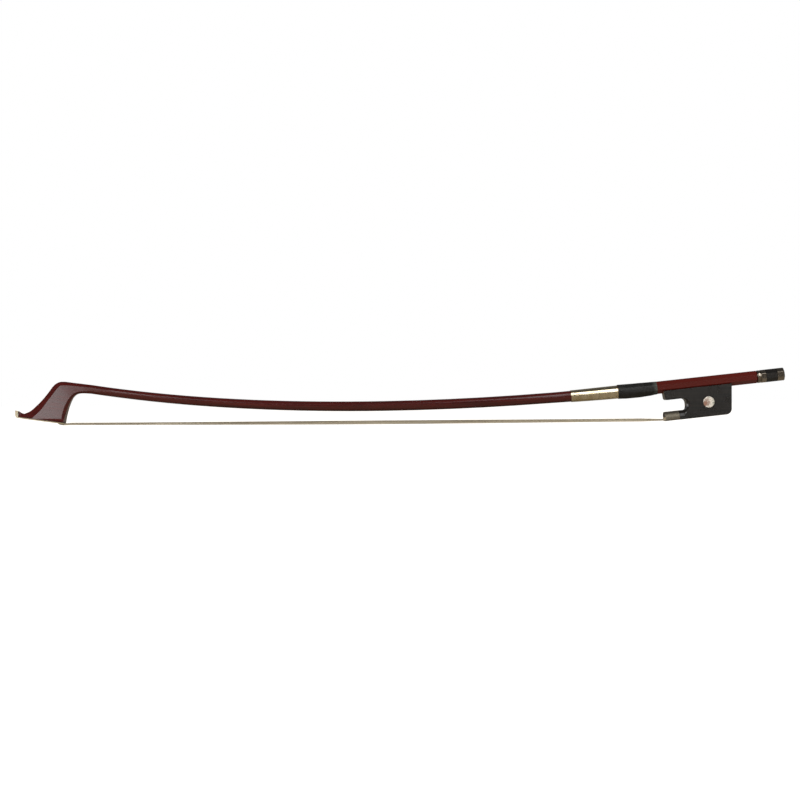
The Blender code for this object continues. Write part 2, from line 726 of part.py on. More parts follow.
def make_hair_ribbon(hair, knot_z):
    """The free hair, from the knot in the head to the ferrule's mouth."""
    _, _, face_depth = plate_depths()
    rear = NOSE_X + HEAD_MORTISE_REAR_X
    edge = NOSE_X + HEAD_THROAT_X
    plate_rear = seat_z(HEAD_MORTISE_REAR_X) - face_depth
    plate_edge = seat_z(HEAD_THROAT_X) - face_depth
    thick = HAIR_THICKNESS_HEAD
    low, high, *_ = hair_levels()
    mouth_x = FERRULE_FRONT - GLUE_GAP
    frog_low = HANDLE_FRAME @ Vector((mouth_x, 0, low))
    frog_high = HANDLE_FRAME @ Vector((mouth_x, 0, high))
    inner = rear - SEAT_GAP
    under = plate_rear - 2 * GLUE_GAP
    span_start = edge + HAIR_BEND_LENGTH
    stations = [
        ((inner, knot_z), (inner - thick, knot_z), HAIR_WIDTH_MORTISE),
        ((inner, plate_rear + SEAT_GAP), (inner - thick, plate_rear + SEAT_GAP), HAIR_WIDTH_MORTISE),
        ((rear, under), (rear - 0.6 * thick, under / 3), HAIR_WIDTH_MORTISE),
        ((edge, plate_edge - 2 * GLUE_GAP), (edge, 0.0), HAIR_WIDTH_HEAD),
        ((span_start, thick), (span_start, 0.0), HAIR_WIDTH_HEAD),
    ]
    for i in range(1, HAIR_STEPS):
        along = i / HAIR_STEPS
        x = span_start + (frog_low.x - span_start) * along
        low_z = frog_low.z * along
        high_z = thick + (frog_high.z - thick) * along
        width = HAIR_WIDTH_HEAD + (HAIR_WIDTH_FROG - HAIR_WIDTH_HEAD) * along
        stations.append(((x, high_z), (x, low_z), width))
    stations.append(((frog_high.x, frog_high.z), (frog_low.x, frog_low.z), HAIR_WIDTH_FROG))
    rings = [
        [(a[0], w / 2, a[1]), (a[0], -w / 2, a[1]), (b[0], -w / 2, b[1]), (b[0], w / 2, b[1])]
        for a, b, w in stations
    ]
    add_object("hair_ribbon", loft(rings), hair)


def leather_rings(inner):
    """Rings of the leather, thickest under the thumb and skived to nothing at its rear."""
    front = WINDING_FRONT - WINDING_LENGTH - GLUE_GAP
    length = front - LEATHER_REAR
    rings = []
    for i in range(GRIP_STEPS + 1):
        along = i / GRIP_STEPS
        distance = LEATHER_REAR + length * along
        body = LEATHER_THICKNESS * (0.2 + 0.8 * ease(along / 0.55))
        belly = LEATHER_THUMB_SWELL * math.sin(math.pi * min(along * 1.1, 1.0)) ** 0.7

        def swell(angle, body=body, belly=belly):
            under = max(0.0, -math.sin(math.radians(angle)))
            return body + belly * under

        if inner:
            rings.append(stick_ring(distance, grow=GLUE_GAP))
        else:
            square = 0.9 - 0.6 * ease(along / 0.6)
            rings.append(stick_ring(distance, grow=GLUE_GAP, squareness=square, swell=swell))
    return rings


def make_winding_and_leather(silver, leather):
    places = [WINDING_FRONT - WINDING_LENGTH * i / GRIP_STEPS for i in range(GRIP_STEPS + 1)]
    outer = [stick_ring(distance, grow=GLUE_GAP + WINDING_THICKNESS) for distance in places]
    inner = [stick_ring(distance, grow=GLUE_GAP) for distance in places]
    add_object("winding", tube_loft(outer, inner), silver, smooth=True)
    leather_mesh = tube_loft(leather_rings(False), leather_rings(True))
    add_object("thumb_leather", leather_mesh, leather, smooth=True)


def frog_half_width(z):
    down = (FROG_TOP_Z - z) / FROG_DEPTH
    return (FROG_TOP_WIDTH + (FROG_BOTTOM_WIDTH - FROG_TOP_WIDTH) * down) / 2


def frog_outline():
    """The frog's side outline before the throat and the ferrule's room are cut."""
    heel_centre = (FROG_HEEL_BOTTOM - FROG_HEEL_RADIUS, FROG_BOTTOM_Z + FROG_HEEL_RADIUS)
    nose_z = TONGUE_UNDER_Z + TONGUE_NOSE_RADIUS
    outline = [(FROG_FRONT, FROG_TOP_Z), (FROG_FRONT + TONGUE_LEAN, nose_z)]
    outline.append((FROG_FRONT + TONGUE_LEAN, FROG_BOTTOM_Z))
    outline += arc(heel_centre, FROG_HEEL_RADIUS, 270, 355, 6)
    outline.append((FROG_HEEL_TOP, FROG_TOP_Z))
    return outline


def d_section(half_width, top_z, bottom_z, shoulder_z, corner, steps=DOME_STEPS):
    """A D on its side, as (y, z): a flat below, straight sides and a domed top."""
    points = []
    for i in range(3):
        angle = math.radians(45 * i)
        rise = corner * (1 - math.cos(angle))
        points.append((half_width - corner * (1 - math.sin(angle)), bottom_z + rise))
    for i in range(steps + 1):
        angle = math.pi * i / steps
        points.append(
            (half_width * math.cos(angle), shoulder_z + (top_z - shoulder_z) * math.sin(angle))
        )
    mirrored = [(-y, z) for y, z in reversed(points[:3])]
    return points + mirrored


def throat_section(drop, apex_z, top_z, x, steps=DOME_STEPS):
    """The throat cutter's section, whose floor is the dome that runs on from the ferrule."""
    outside = FROG_BOTTOM_WIDTH / 2 + OVERCUT
    half = FERRULE_WIDTH / 2
    ring = []
    for i in range(steps + 1):
        angle = math.pi * i / steps
        ring.append((x, half * math.cos(angle), apex_z - drop * (1 - math.sin(angle))))
    ring.append((x, -outside, apex_z - drop))
    ring.append((x, -outside, top_z))
    ring.append((x, outside, top_z))
    ring.append((x, outside, apex_z - drop))
    return ring


def throat_cutter():
    """The U throat: flared round the tongue's nose, then straight, then rounded into its wall."""
    dome = FERRULE_HEIGHT - FERRULE_SHOULDER
    steps = THROAT_STEPS
    nose_x = FROG_FRONT + TONGUE_LEAN + TONGUE_NOSE_RADIUS
    start = THROAT_WALL_X - THROAT_RADIUS
    flare_top = TONGUE_UNDER_Z + TONGUE_NOSE_RADIUS
    rings = [throat_section(dome, FERRULE_TOP_Z, flare_top, FERRULE_FRONT - OVERCUT)]
    for i in range(steps + 1):
        angle = math.radians(90 * (1 - i / steps))
        rise = TONGUE_NOSE_RADIUS * (1 - math.cos(angle))
        x = nose_x - TONGUE_NOSE_RADIUS * math.sin(angle)
        rings.append(throat_section(dome, FERRULE_TOP_Z, TONGUE_UNDER_Z + rise, x))
    for x in (FERRULE_REAR, start):
        rings.append(throat_section(dome, FERRULE_TOP_Z, TONGUE_UNDER_Z, x))
    for i in range(1, steps + 1):
        angle = math.radians(90 * i / steps)
        rise = THROAT_RADIUS * (1 - math.cos(angle))
        rings.append(
            throat_section(
                dome * (1 - 0.8 * ease(i / steps)),
                FERRULE_TOP_Z + rise,
                TONGUE_UNDER_Z - rise,
                start + THROAT_RADIUS * math.sin(angle),
            )
        )
    return loft(rings)


def cove_cutter(side):
    """The hollow scraped into one edge of the throat's wall."""
    middle_z = (TONGUE_UNDER_Z + FERRULE_TOP_Z) / 2
    reach = COVE_RADIUS - COVE_BITE
    bm = bmesh.new()
    rings = COVE_STEPS // 2
    bmesh.ops.create_uvsphere(
        bm, u_segments=COVE_STEPS, v_segments=rings, radius=COVE_RADIUS
    )
    centre = (THROAT_WALL_X - THROAT_RADIUS, side * (frog_half_width(middle_z) + reach), middle_z)
    squeeze = Matrix.Diagonal((1, 1, COVE_HEIGHT / 2 / COVE_RADIUS, 1))
    bmesh.ops.transform(bm, matrix=Matrix.Translation(centre) @ squeeze, verts=bm.verts)
    return bm


def channel_section(half_across, top_z):
    """The lower facets of an octagon up to a height, as (y, z) from side to side."""
    corner = OCTAGON_SIDE * half_across
    side = half_across * math.sqrt(2) + top_z
    return [(side, top_z), (corner, -half_across), (-corner, -half_across), (-side, top_z)]


def lining_screw_places():
    return (FROG_FRONT + LINING_SCREW_INSET, FROG_HEEL_TOP - LINING_SCREW_INSET)


def slide_levels():
    """Heights of the slide: pearl face, pearl back, backing face and backing top."""
    pearl_low = FROG_BOTTOM_Z
    pearl_high = pearl_low + SLIDE_PEARL_THICKNESS
    backing_low = pearl_high + GLUE_GAP
    return pearl_low, pearl_high, backing_low, backing_low + SLIDE_BACKING_THICKNESS


def slide_section(low, high, grow=0.0):
    """The dovetail's section as (y, z), wider inside the frog."""
    pearl_low, _, _, backing_high = slide_levels()

    def half(z):
        return SLIDE_WIDTH / 2 + SLIDE_DOVETAIL * (z - pearl_low) / (backing_high - pearl_low) + grow

    return [(half(low), low), (half(high), high), (-half(high), high), (-half(low), low)]


def make_frog_body(ebony, frog):
    body = add_object("frog_body", extrude_side(frog_outline(), frog_half_width), ebony, frog)
    bevel = body.modifiers.new("edges", "BEVEL")
    bevel.width = FROG_EDGE_BEVEL
    bevel.segments = 1
    bevel.limit_method = "ANGLE"
    bevel.angle_limit = math.radians(60)
    *_, tongue_low = hair_levels()
    inset = FERRULE_WALL + SEAT_GAP
    tongue = extrude_section(
        d_section(
            FERRULE_WIDTH / 2 - inset,
            FERRULE_TOP_Z - inset,
            tongue_low,
            max(FERRULE_BOTTOM_Z + FERRULE_SHOULDER, tongue_low + GLUE_GAP),
            0.0,
        ),
        FERRULE_FRONT + 2 * SEAT_GAP,
        FERRULE_REAR + OVERCUT,
    )
    channel_half = HANDLE_ACROSS / 2 + RUNNING_GAP + UNDERSLIDE_THICKNESS + GLUE_GAP
    channel = channel_section(channel_half, 0.0)
    channel = [(channel[0][0], HANDLE_ACROSS)] + channel + [(channel[3][0], HANDLE_ACROSS)]
    _, _, _, backing_high = slide_levels()
    hair_roof = backing_high + HAIR_THICKNESS_FROG + 2 * GLUE_GAP
    mortise_rear = FROG_MORTISE_FRONT + FROG_MORTISE_LENGTH
    hair_half = HAIR_WIDTH_FROG / 2 + GLUE_GAP
    mortise_half = FROG_MORTISE_WIDTH / 2
    low = FROG_BOTTOM_Z - OVERCUT
    slide_cut = slide_section(low, backing_high + GLUE_GAP, GLUE_GAP)
    shank = EYELET_SHANK_DIAMETER + 2 * GLUE_GAP
    shank_low = -HANDLE_ACROSS / 2 - EYELET_SHANK_LENGTH - SEAT_GAP
    cut(body, add_cutter("cut_throat", throat_cutter(), frog))
    ferrule_room = box(
        (FERRULE_FRONT - OVERCUT, FERRULE_REAR + SEAT_GAP),
        (-FROG_BOTTOM_WIDTH, FROG_BOTTOM_WIDTH),
        (low, TONGUE_UNDER_Z - OVERCUT),
    )
    cut(body, add_cutter("cut_ferrule_room", ferrule_room, frog))
    cut(body, add_cutter("add_tongue", tongue, frog), "UNION")
    cut(body, add_cutter("cut_cove_left", cove_cutter(-1), frog))
    cut(body, add_cutter("cut_cove_right", cove_cutter(1), frog))
    stick_room = extrude_section(channel, FROG_FRONT - OVERCUT, FROG_HEEL_TOP + OVERCUT)
    cut(body, add_cutter("cut_stick_channel", stick_room, frog))
    slide_room = extrude_section(slide_cut, FERRULE_REAR, SLIDE_REAR + GLUE_GAP)
    cut(body, add_cutter("cut_slide_groove", slide_room, frog))
    hair_room = box(
        (FERRULE_REAR - OVERCUT, FROG_MORTISE_FRONT + OVERCUT),
        (-hair_half, hair_half),
        (backing_high, hair_roof),
    )
    cut(body, add_cutter("cut_hair_channel", hair_room, frog))
    mortise = box(
        (FROG_MORTISE_FRONT, mortise_rear),
        (-mortise_half, mortise_half),
        (backing_high, backing_high + FROG_MORTISE_DEPTH),
    )
    cut(body, add_cutter("cut_hair_mortise", mortise, frog))
    hole = cylinder((EYELET_X, 0, shank_low), (EYELET_X, 0, 0), shank, 16)
    cut(body, add_cutter("cut_eyelet_hole", hole, frog))
    for name, x in zip(("front", "rear"), lining_screw_places()):
        bottom = -HANDLE_ACROSS / 2 - LINING_SCREW_LENGTH - SEAT_GAP
        hole = cylinder((x, 0, bottom), (x, 0, 0), LINING_SCREW_DIAMETER + 2 * GLUE_GAP, 12)
        cut(body, add_cutter("cut_lining_screw_" + name, hole, frog))
    for name, side in (("left", -1), ("right", 1)):
        recess = eye_disc(side, GLUE_GAP)
        cut(body, add_cutter("cut_eye_" + name, recess, frog))
    return body


def eye_disc(side, grow=0.0):
    """The round eye, flush with the frog's face, or its recess when grown."""
    flare = math.atan((FROG_BOTTOM_WIDTH - FROG_TOP_WIDTH) / 2 / FROG_DEPTH)
    out = Vector((0, side * math.cos(flare), math.sin(flare)))
    face = Vector((EYE_X, side * frog_half_width(EYE_Z), EYE_Z))
    lift = OVERCUT if grow else 0.0
    return cylinder(
        face - out * (EYE_THICKNESS + grow), face + out * lift, EYE_DIAMETER + 2 * grow
    )


def make_underslide(silver, frog):
    inner = channel_section(HANDLE_ACROSS / 2 + RUNNING_GAP, FROG_TOP_Z + GLUE_GAP)
    outer = channel_section(
        HANDLE_ACROSS / 2 + RUNNING_GAP + UNDERSLIDE_THICKNESS, FROG_TOP_Z + GLUE_GAP
    )
    section = inner + outer[::-1]
    lining = add_object(
        "underslide", extrude_section(section, FROG_FRONT - GLUE_GAP, FROG_HEEL_TOP), silver, frog
    )
    hole_width = EYELET_SHANK_DIAMETER + 4 * GLUE_GAP
    hole = cylinder((EYELET_X, 0, -HANDLE_ACROSS), (EYELET_X, 0, 0), hole_width, 16)
    cut(lining, add_cutter("cut_lining_eyelet", hole, frog))
    for name, x in zip(("front", "rear"), lining_screw_places()):
        hole_width = LINING_SCREW_DIAMETER + 4 * GLUE_GAP
        hole = cylinder((x, 0, -HANDLE_ACROSS), (x, 0, 0), hole_width, 12)
        cut(lining, add_cutter("cut_lining_hole_" + name, hole, frog))
        top = -HANDLE_ACROSS / 2 - 2 * RUNNING_GAP
        screw = cylinder((x, 0, top - LINING_SCREW_LENGTH), (x, 0, top), LINING_SCREW_DIAMETER, 12)
        add_object("underslide_screw_" + name, screw, silver, frog, smooth=True)


def make_eyelet(brass, frog):
    half = EYELET_WIDTH / 2
    low = -HANDLE_ACROSS / 2 + SEAT_GAP
    section = [(half, low)] + arc((0, 0), half, 0, 180, 14) + [(-half, low)]
    head = extrude_section(section, EYELET_X - EYELET_LENGTH / 2, EYELET_X + EYELET_LENGTH / 2)
    eyelet = add_object("eyelet", head, brass, frog, smooth=True)
    shank_low = -HANDLE_ACROSS / 2 - EYELET_SHANK_LENGTH
    shank_top = low + SEAT_GAP
    shank = cylinder((EYELET_X, 0, shank_low), (EYELET_X, 0, shank_top), EYELET_SHANK_DIAMETER, 16)
    cut(eyelet, add_cutter("add_eyelet_shank", shank, frog), "UNION")
    reach = EYELET_LENGTH
    bore = cylinder(
        (EYELET_X - reach, 0, 0), (EYELET_X + reach, 0, 0), SCREW_DIAMETER + 2 * RUNNING_GAP
    )
    cut(eyelet, add_cutter("cut_eyelet_thread", bore, frog))


def make_ferrule(silver, frog):
    shoulder = FERRULE_BOTTOM_Z + FERRULE_SHOULDER
    outer = d_section(
        FERRULE_WIDTH / 2, FERRULE_TOP_Z, FERRULE_BOTTOM_Z, shoulder, FERRULE_CORNER
    )
    inner = d_section(
        FERRULE_WIDTH / 2 - FERRULE_WALL,
        FERRULE_TOP_Z - FERRULE_WALL,
        FERRULE_BOTTOM_Z + FERRULE_WALL,
        shoulder,
        FERRULE_CORNER - 0.5 * FERRULE_WALL,
    )
    places = (FERRULE_FRONT, FERRULE_REAR)
    rings = [[[(x, y, z) for y, z in section] for x in places] for section in (outer, inner)]
    add_object("ferrule", tube_loft(*rings), silver, frog, smooth=True)


def make_frog_hair(hair, thread, plug_wood, frog):
    """Hair, wedge, knot and plug that the ferrule and the frog's mortise hold."""
    hair_low, hair_high, wedge_low, wedge_high, _ = hair_levels()
    _, _, _, backing_high = slide_levels()
    half = HAIR_WIDTH_FROG / 2
    front = FERRULE_FRONT + SEAT_GAP
    wedge = box((front, front + WEDGE_LENGTH), (-half, half), (wedge_low, wedge_high))
    add_object("ferrule_wedge", wedge, plug_wood, frog)
    step = backing_high + GLUE_GAP
    rise = FERRULE_REAR - 2 * GLUE_GAP
    bend = rise - HAIR_RISE_LENGTH
    rear = FROG_MORTISE_FRONT + SEAT_GAP
    turn = rear + HAIR_THICKNESS_FROG
    roof = backing_high + FROG_MORTISE_DEPTH - SEAT_GAP
    knot_low = roof - FROG_KNOT_DIAMETER
    side = [
        (front, hair_low),
        (bend, hair_low),
        (rise, step),
        (turn, step),
        (turn, knot_low - SEAT_GAP),
        (rear, knot_low - SEAT_GAP),
        (rear, step + HAIR_THICKNESS_FROG),
        (rise - 2 * GLUE_GAP, step + HAIR_THICKNESS_FROG),
        (bend - GLUE_GAP, hair_high),
        (front, hair_high),
    ]
    tail_half = min(half, FROG_MORTISE_WIDTH / 2 - SEAT_GAP)
    add_object("frog_hair_tail", extrude_side(side, tail_half), hair, frog)
    mortise_rear = FROG_MORTISE_FRONT + FROG_MORTISE_LENGTH
    plug_half = FROG_MORTISE_WIDTH / 2 - SEAT_GAP
    plug = box(
        (turn + SEAT_GAP, mortise_rear - SEAT_GAP),
        (-plug_half, plug_half),
        (backing_high + SEAT_GAP, knot_low - SEAT_GAP),
    )
    add_object("frog_plug", plug, plug_wood, frog)
    middle_x = (rear + mortise_rear) / 2
    middle_z = (knot_low + roof) / 2
    knot_half = plug_half - KNOT_INSET
    knot = cylinder(
        (middle_x, -knot_half, middle_z), (middle_x, knot_half, middle_z), FROG_KNOT_DIAMETER, 16
    )
    add_object("frog_hair_knot", knot, thread, frog, smooth=True)


def make_slide(ebony, pearl, frog):
    pearl_low, pearl_high, backing_low, backing_high = slide_levels()
    front = FERRULE_REAR + SEAT_GAP
    backing = extrude_section(slide_section(backing_low, backing_high), front, SLIDE_REAR)
    add_object("slide_backing", backing, ebony, frog)
    face = extrude_section(slide_section(pearl_low, pearl_high), front, SLIDE_REAR)
    add_object("pearl_slide", face, pearl, frog)


def make_eyes(pearl, frog):
    for name, side in (("left", -1), ("right", 1)):
        add_object("pearl_eye_" + name, eye_disc(side), pearl, frog, smooth=True)


def button_ring_points(x, radius, squareness):
    ring = []
    for i in range(SIDES):
        angle = 22.5 + 360 * i / SIDES
        reach = section_radius(angle, radius, squareness)
        turn = math.radians(angle)
        ring.append((x, reach * math.cos(turn), reach * math.sin(turn)))
    return ring


def button_sleeve(stations, bore):
    """A ring of metal through (x, radius, squareness) stations, with a round bore."""
    outer = [button_ring_points(*station) for station in stations]
    inner = [button_ring_points(x, bore / 2, 0.0) for x in (stations[0][0], stations[-1][0])]
    return tube_loft(outer, inner)


def make_button(ebony, silver, screw):
    half = BUTTON_ACROSS / 2
    start = SEAT_GAP
    collar_end = start + BUTTON_COLLAR_LENGTH
    front_end = start + BUTTON_RING_FRONT_LENGTH
    ebony_start = front_end + GLUE_GAP
    ebony_end = ebony_start + BUTTON_EBONY_LENGTH - 2 * GLUE_GAP
    back_start = ebony_end + GLUE_GAP
    back_end = BUTTON_LENGTH
    bore = BUTTON_NECK_DIAMETER + 2 * GLUE_GAP
    groove = half - BUTTON_GROOVE_DEPTH
    rounding = BUTTON_COLLAR_ROUNDING
    chamfer = BUTTON_END_CHAMFER
    front_stations = (
        (start, half - rounding, 0.0),
        (start + 0.3 * rounding, half - 0.3 * rounding, 0.0),
        (start + rounding, half, 0.0),
        (collar_end - 2 * BUTTON_GROOVE_WIDTH, half, 0.0),
        (collar_end - BUTTON_GROOVE_WIDTH, groove, 0.0),
        (collar_end, groove, 0.0),
        (collar_end + BUTTON_GROOVE_WIDTH, half, 1.0),
        (front_end, half, 1.0),
    )
    add_object("button_ring_front", button_sleeve(front_stations, bore), silver, screw, smooth=True)
    back_stations = (
        (back_start, half, 1.0),
        (back_end - chamfer, half, 1.0),
        (back_end, half - chamfer, 1.0),
    )
    add_object("button_ring_back", button_sleeve(back_stations, bore), silver, screw, smooth=True)
    neck = BUTTON_NECK_DIAMETER / 2
    cap = back_end - BUTTON_END_RECESS
    core_stations = (
        (start + SEAT_GAP, neck, 0.0),
        (ebony_start, neck, 0.0),
        (ebony_start, half, 1.0),
        (ebony_end, half, 1.0),
        (ebony_end, neck, 0.0),
        (cap - BUTTON_END_DOME, neck, 0.0),
        (cap, neck - 2.4 * BUTTON_END_DOME, 0.0),
    )
    core_mesh = loft([button_ring_points(*station) for station in core_stations])
    core = add_object("button_core", core_mesh, ebony, screw, smooth=True)
    tang_half = SCREW_TANG_ACROSS / 2
    tang_end = ebony_end - SEAT_GAP
    room_half = tang_half + GLUE_GAP
    room_range = (-room_half, room_half)
    tang_room = box((-OVERCUT, tang_end + SEAT_GAP), room_range, room_range)
    cut(core, add_cutter("cut_tang_room", tang_room, screw))
    return tang_end


def make_screw(steel, screw, tang_end):
    front, _ = eyelet_slot_x()
    start = front + SEAT_GAP
    shaft = cylinder((start, 0, 0), (SEAT_GAP, 0, 0), SCREW_DIAMETER)
    rod = add_object("screw_rod", shaft, steel, screw)
    nipple = cylinder(
        (front - SCREW_NIPPLE_LENGTH, 0, 0), (start + SEAT_GAP, 0, 0), SCREW_NIPPLE_DIAMETER
    )
    cut(rod, add_cutter("add_nipple", nipple, screw), "UNION")
    half = SCREW_TANG_ACROSS / 2
    tang = box((GLUE_GAP, tang_end), (-half, half), (-half, half))
    cut(rod, add_cutter("add_tang", tang, screw), "UNION")


def main():
    clear_scene()
    wood = finish("stick_wood", (0.110, 0.024, 0.016), 0.32)
    ebony = finish("ebony", (0.020, 0.018, 0.016), 0.42)
    bone = finish("bone", (0.62, 0.56, 0.45), 0.45)
    plug_wood = finish("plug_maple", (0.55, 0.42, 0.27), 0.60)
    hair = finish("horse_hair", (0.62, 0.55, 0.42), 0.55)
    thread = finish("waxed_thread", (0.30, 0.22, 0.14), 0.70)
    silver = finish("nickel_silver", (0.58, 0.54, 0.46), 0.28, 1.0)
    leather = finish("grip_leather", (0.020, 0.020, 0.018), 0.62)
    pearl = finish("mother_of_pearl", (0.66, 0.60, 0.54), 0.25)
    brass = finish("brass", (0.66, 0.48, 0.20), 0.35, 1.0)
    steel = finish("steel", (0.48, 0.48, 0.47), 0.35, 1.0)

    handle = add_empty("handle_axis", HANDLE_FRAME)
    frog = add_empty("frog_carrier", Matrix.Identity(4), handle)
    screw = add_empty("screw_carrier", Matrix.Identity(4), handle)

    make_stick(wood, handle)
    knot_z = make_head_fittings(ebony, bone, plug_wood, thread)
    make_hair_ribbon(hair, knot_z)
    make_winding_and_leather(silver, leather)
    make_frog_body(ebony, frog)
    make_underslide(silver, frog)
    make_eyelet(brass, frog)
    make_ferrule(silver, frog)
    make_frog_hair(hair, thread, plug_wood, frog)
    make_slide(ebony, pearl, frog)
    make_eyes(pearl, frog)
    tang_end = make_button(ebony, silver, screw)
    make_screw(steel, screw, tang_end)


main()
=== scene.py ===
# Double bass bow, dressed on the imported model: woods, hair, wire, leather, metal and pearl

import math

import bmesh
import bpy
from mathutils import Matrix, Vector
from mathutils.geometry import interpolate_bezier


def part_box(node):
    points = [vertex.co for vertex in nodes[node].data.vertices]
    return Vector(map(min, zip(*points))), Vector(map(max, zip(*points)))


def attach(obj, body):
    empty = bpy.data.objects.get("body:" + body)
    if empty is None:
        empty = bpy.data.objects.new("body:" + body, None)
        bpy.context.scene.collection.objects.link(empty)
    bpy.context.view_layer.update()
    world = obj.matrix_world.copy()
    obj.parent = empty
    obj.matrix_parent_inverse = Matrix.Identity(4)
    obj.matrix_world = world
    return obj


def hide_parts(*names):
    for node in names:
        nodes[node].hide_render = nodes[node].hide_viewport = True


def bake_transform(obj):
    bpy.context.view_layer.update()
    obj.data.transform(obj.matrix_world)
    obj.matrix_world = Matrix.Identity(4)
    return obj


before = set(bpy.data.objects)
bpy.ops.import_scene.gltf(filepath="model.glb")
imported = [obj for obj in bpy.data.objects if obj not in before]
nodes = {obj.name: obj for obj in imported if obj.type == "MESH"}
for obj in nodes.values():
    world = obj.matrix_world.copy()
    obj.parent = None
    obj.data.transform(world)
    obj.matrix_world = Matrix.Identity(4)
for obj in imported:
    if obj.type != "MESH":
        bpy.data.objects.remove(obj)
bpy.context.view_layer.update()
scene = bpy.context.scene
print("frame loaded,", len(nodes), "nodes")


# small helpers

def linear(hexColour):
    # sRGB hex to the linear colour that the shaders work in
    channels = [int(hexColour[i:i + 2], 16) / 255 for i in (1, 3, 5)]
    return [c / 12.92 if c <= 0.04045 else ((c + 0.055) / 1.055) ** 2.4 for c in channels] + [1.0]


def addNode(tree, kind, setup=None):
    # a node with its settings and links, each under the name of its property or its socket
    node = tree.nodes.new(kind)
    for name, value in (setup or {}).items():
        if name == "stops":  # of a colour ramp, as (place, hex)
            elements = node.color_ramp.elements
            while len(elements) < len(value):
                elements.new(0.5)
            for element, (place, colour) in zip(elements, value):
                element.position = place
                element.color = linear(colour)
        elif isinstance(name, str) and name in node.bl_rna.properties:
            setattr(node, name, value)
        elif isinstance(value, bpy.types.NodeSocket):
            tree.links.new(value, node.inputs[name])
        else:
            node.inputs[name].default_value = value
    return node


def startMaterial(name, finish):
    # an empty material with its Principled shader, set to the finish's own numbers
    material = bpy.data.materials.new(name)
    material.use_nodes = True
    tree = material.node_tree
    shader = tree.nodes["Principled BSDF"]
    for socket, value in finish.items():
        shader.inputs[socket].default_value = value
    return material, tree, shader


def finishMaterial(tree, shader, colour, relief, depth, strength, roughness=None):
    # sends the patterns to the shader, with the relief's depth in metres
    tree.links.new(colour, shader.inputs["Base Color"])
    if roughness is not None:
        tree.links.new(roughness, shader.inputs["Roughness"])
    raised = addNode(
        tree, "ShaderNodeBump", {"Strength": strength, "Distance": depth, "Height": relief}
    )
    tree.links.new(raised.outputs["Normal"], shader.inputs["Normal"])


def grainPattern(tree, place, millimetres, along=1.0, detail=3.0, roughness=0.55, distortion=0.0):
    # soft marks of a size in millimetres, drawn out along X where along is below 1
    drawnOut = addNode(
        tree, "ShaderNodeVectorMath", {"operation": "MULTIPLY", 0: place, 1: (along, 1.0, 1.0)}
    ).outputs["Vector"]
    return addNode(tree, "ShaderNodeTexNoise", {
        "Scale": 1000 / millimetres, "Detail": detail, "Roughness": roughness,
        "Distortion": distortion, "Vector": drawnOut,
    }).outputs["Fac"]


def newObject(name, mesh, material):
    mesh.materials.clear()
    mesh.materials.append(material)
    item = bpy.data.objects.new(name, mesh)
    scene.collection.objects.link(item)
    return item


def ease(value):
    value = min(max(value, 0.0), 1.0)
    return value * value * (3 - 2 * value)


def throughTable(table, place):
    # a value read from rows of (place, value), eased between them
    for (a, low), (b, high) in zip(table, table[1:]):
        if place <= b:
            return low + (high - low) * ease((place - a) / (b - a))
    return table[-1][1]


# the stick's own line, which grain, wire and leather follow

stickLine = {
    "tilt": math.radians(5.95),
    "butt": (0.331648, 0.040517),  # x and z of the handle's end
    "handleLength": 0.1275,
    "straightLength": 0.085,
    "handleAcross": 0.0115,
    "head": (-0.28595, 0.0329),  # x and z where the shaft meets the head
    "headFall": math.radians(8.9),
    "pullHead": 0.204,  # how far each end's direction holds before the camber takes over
    "pullHandle": 0.1085,
    "flareLength": 0.066,  # from the octagonal handle to the round shaft
    "cornersFade": 0.8,  # share of the flare over which the octagon's corners go
    "tipDiameter": 0.0081,
    "gripDiameter": 0.0099,
    "steps": 300,
}


def stickCurve():
    along = Vector((math.cos(stickLine["tilt"]), math.sin(stickLine["tilt"])))
    butt = Vector(stickLine["butt"])
    start = butt - along * stickLine["straightLength"]
    head = Vector(stickLine["head"])
    fall = Vector((math.cos(stickLine["headFall"]), -math.sin(stickLine["headFall"])))
    return [butt] + interpolate_bezier(
        start,
        start - along * stickLine["pullHandle"],
        head + fall * stickLine["pullHead"],
        head,
        stickLine["steps"],
    )


linePoints = stickCurve()
lineSteps = [(b - a).length for a, b in zip(linePoints, linePoints[1:])]
lineLength = sum(lineSteps)
lineDistances = [sum(lineSteps[:i]) for i in range(len(linePoints))]


def lineAt(distance):
    # point and direction towards the button, by distance from the butt end
    i = 0
    while i < len(lineSteps) - 1 and lineDistances[i + 1] < distance:
        i += 1
    point = linePoints[i].lerp(linePoints[i + 1], (distance - lineDistances[i]) / lineSteps[i])
    low, high = max(i - 2, 0), min(i + 3, len(linePoints) - 1)
    if distance <= stickLine["straightLength"]:
        low, high = 0, 1
    return point, (linePoints[low] - linePoints[high]).normalized()


def stickRadius(distance):
    flareEnd = stickLine["handleLength"] + stickLine["flareLength"]
    taper = min(max((distance - flareEnd) / (lineLength - flareEnd), 0.0), 1.0)
    thin = stickLine["gripDiameter"] + (stickLine["tipDiameter"] - stickLine["gripDiameter"]) * taper
    flare = ease((flareEnd - distance) / stickLine["flareLength"])
    return (thin + (stickLine["handleAcross"] - thin) * flare) / 2


def squareness(distance):
    blend = stickLine["cornersFade"] * stickLine["flareLength"]
    return ease((stickLine["handleLength"] + blend - distance) / blend)


def sectionRadius(degrees, radius, square):
    offFlat = (degrees + 22.5) % 45 - 22.5
    return radius * (1 - square + square / math.cos(math.radians(offFlat)))


def ringPoint(distance, degrees, grow, square=None):
    centre, direction = lineAt(distance)
    up = Vector((-direction.y, direction.x))
    square = squareness(distance) if square is None else square
    radius = sectionRadius(degrees, stickRadius(distance), square) + grow
    rise = up * radius * math.sin(math.radians(degrees))
    across = radius * math.cos(math.radians(degrees))
    return Vector((centre.x + rise.x, across, centre.y + rise.y))


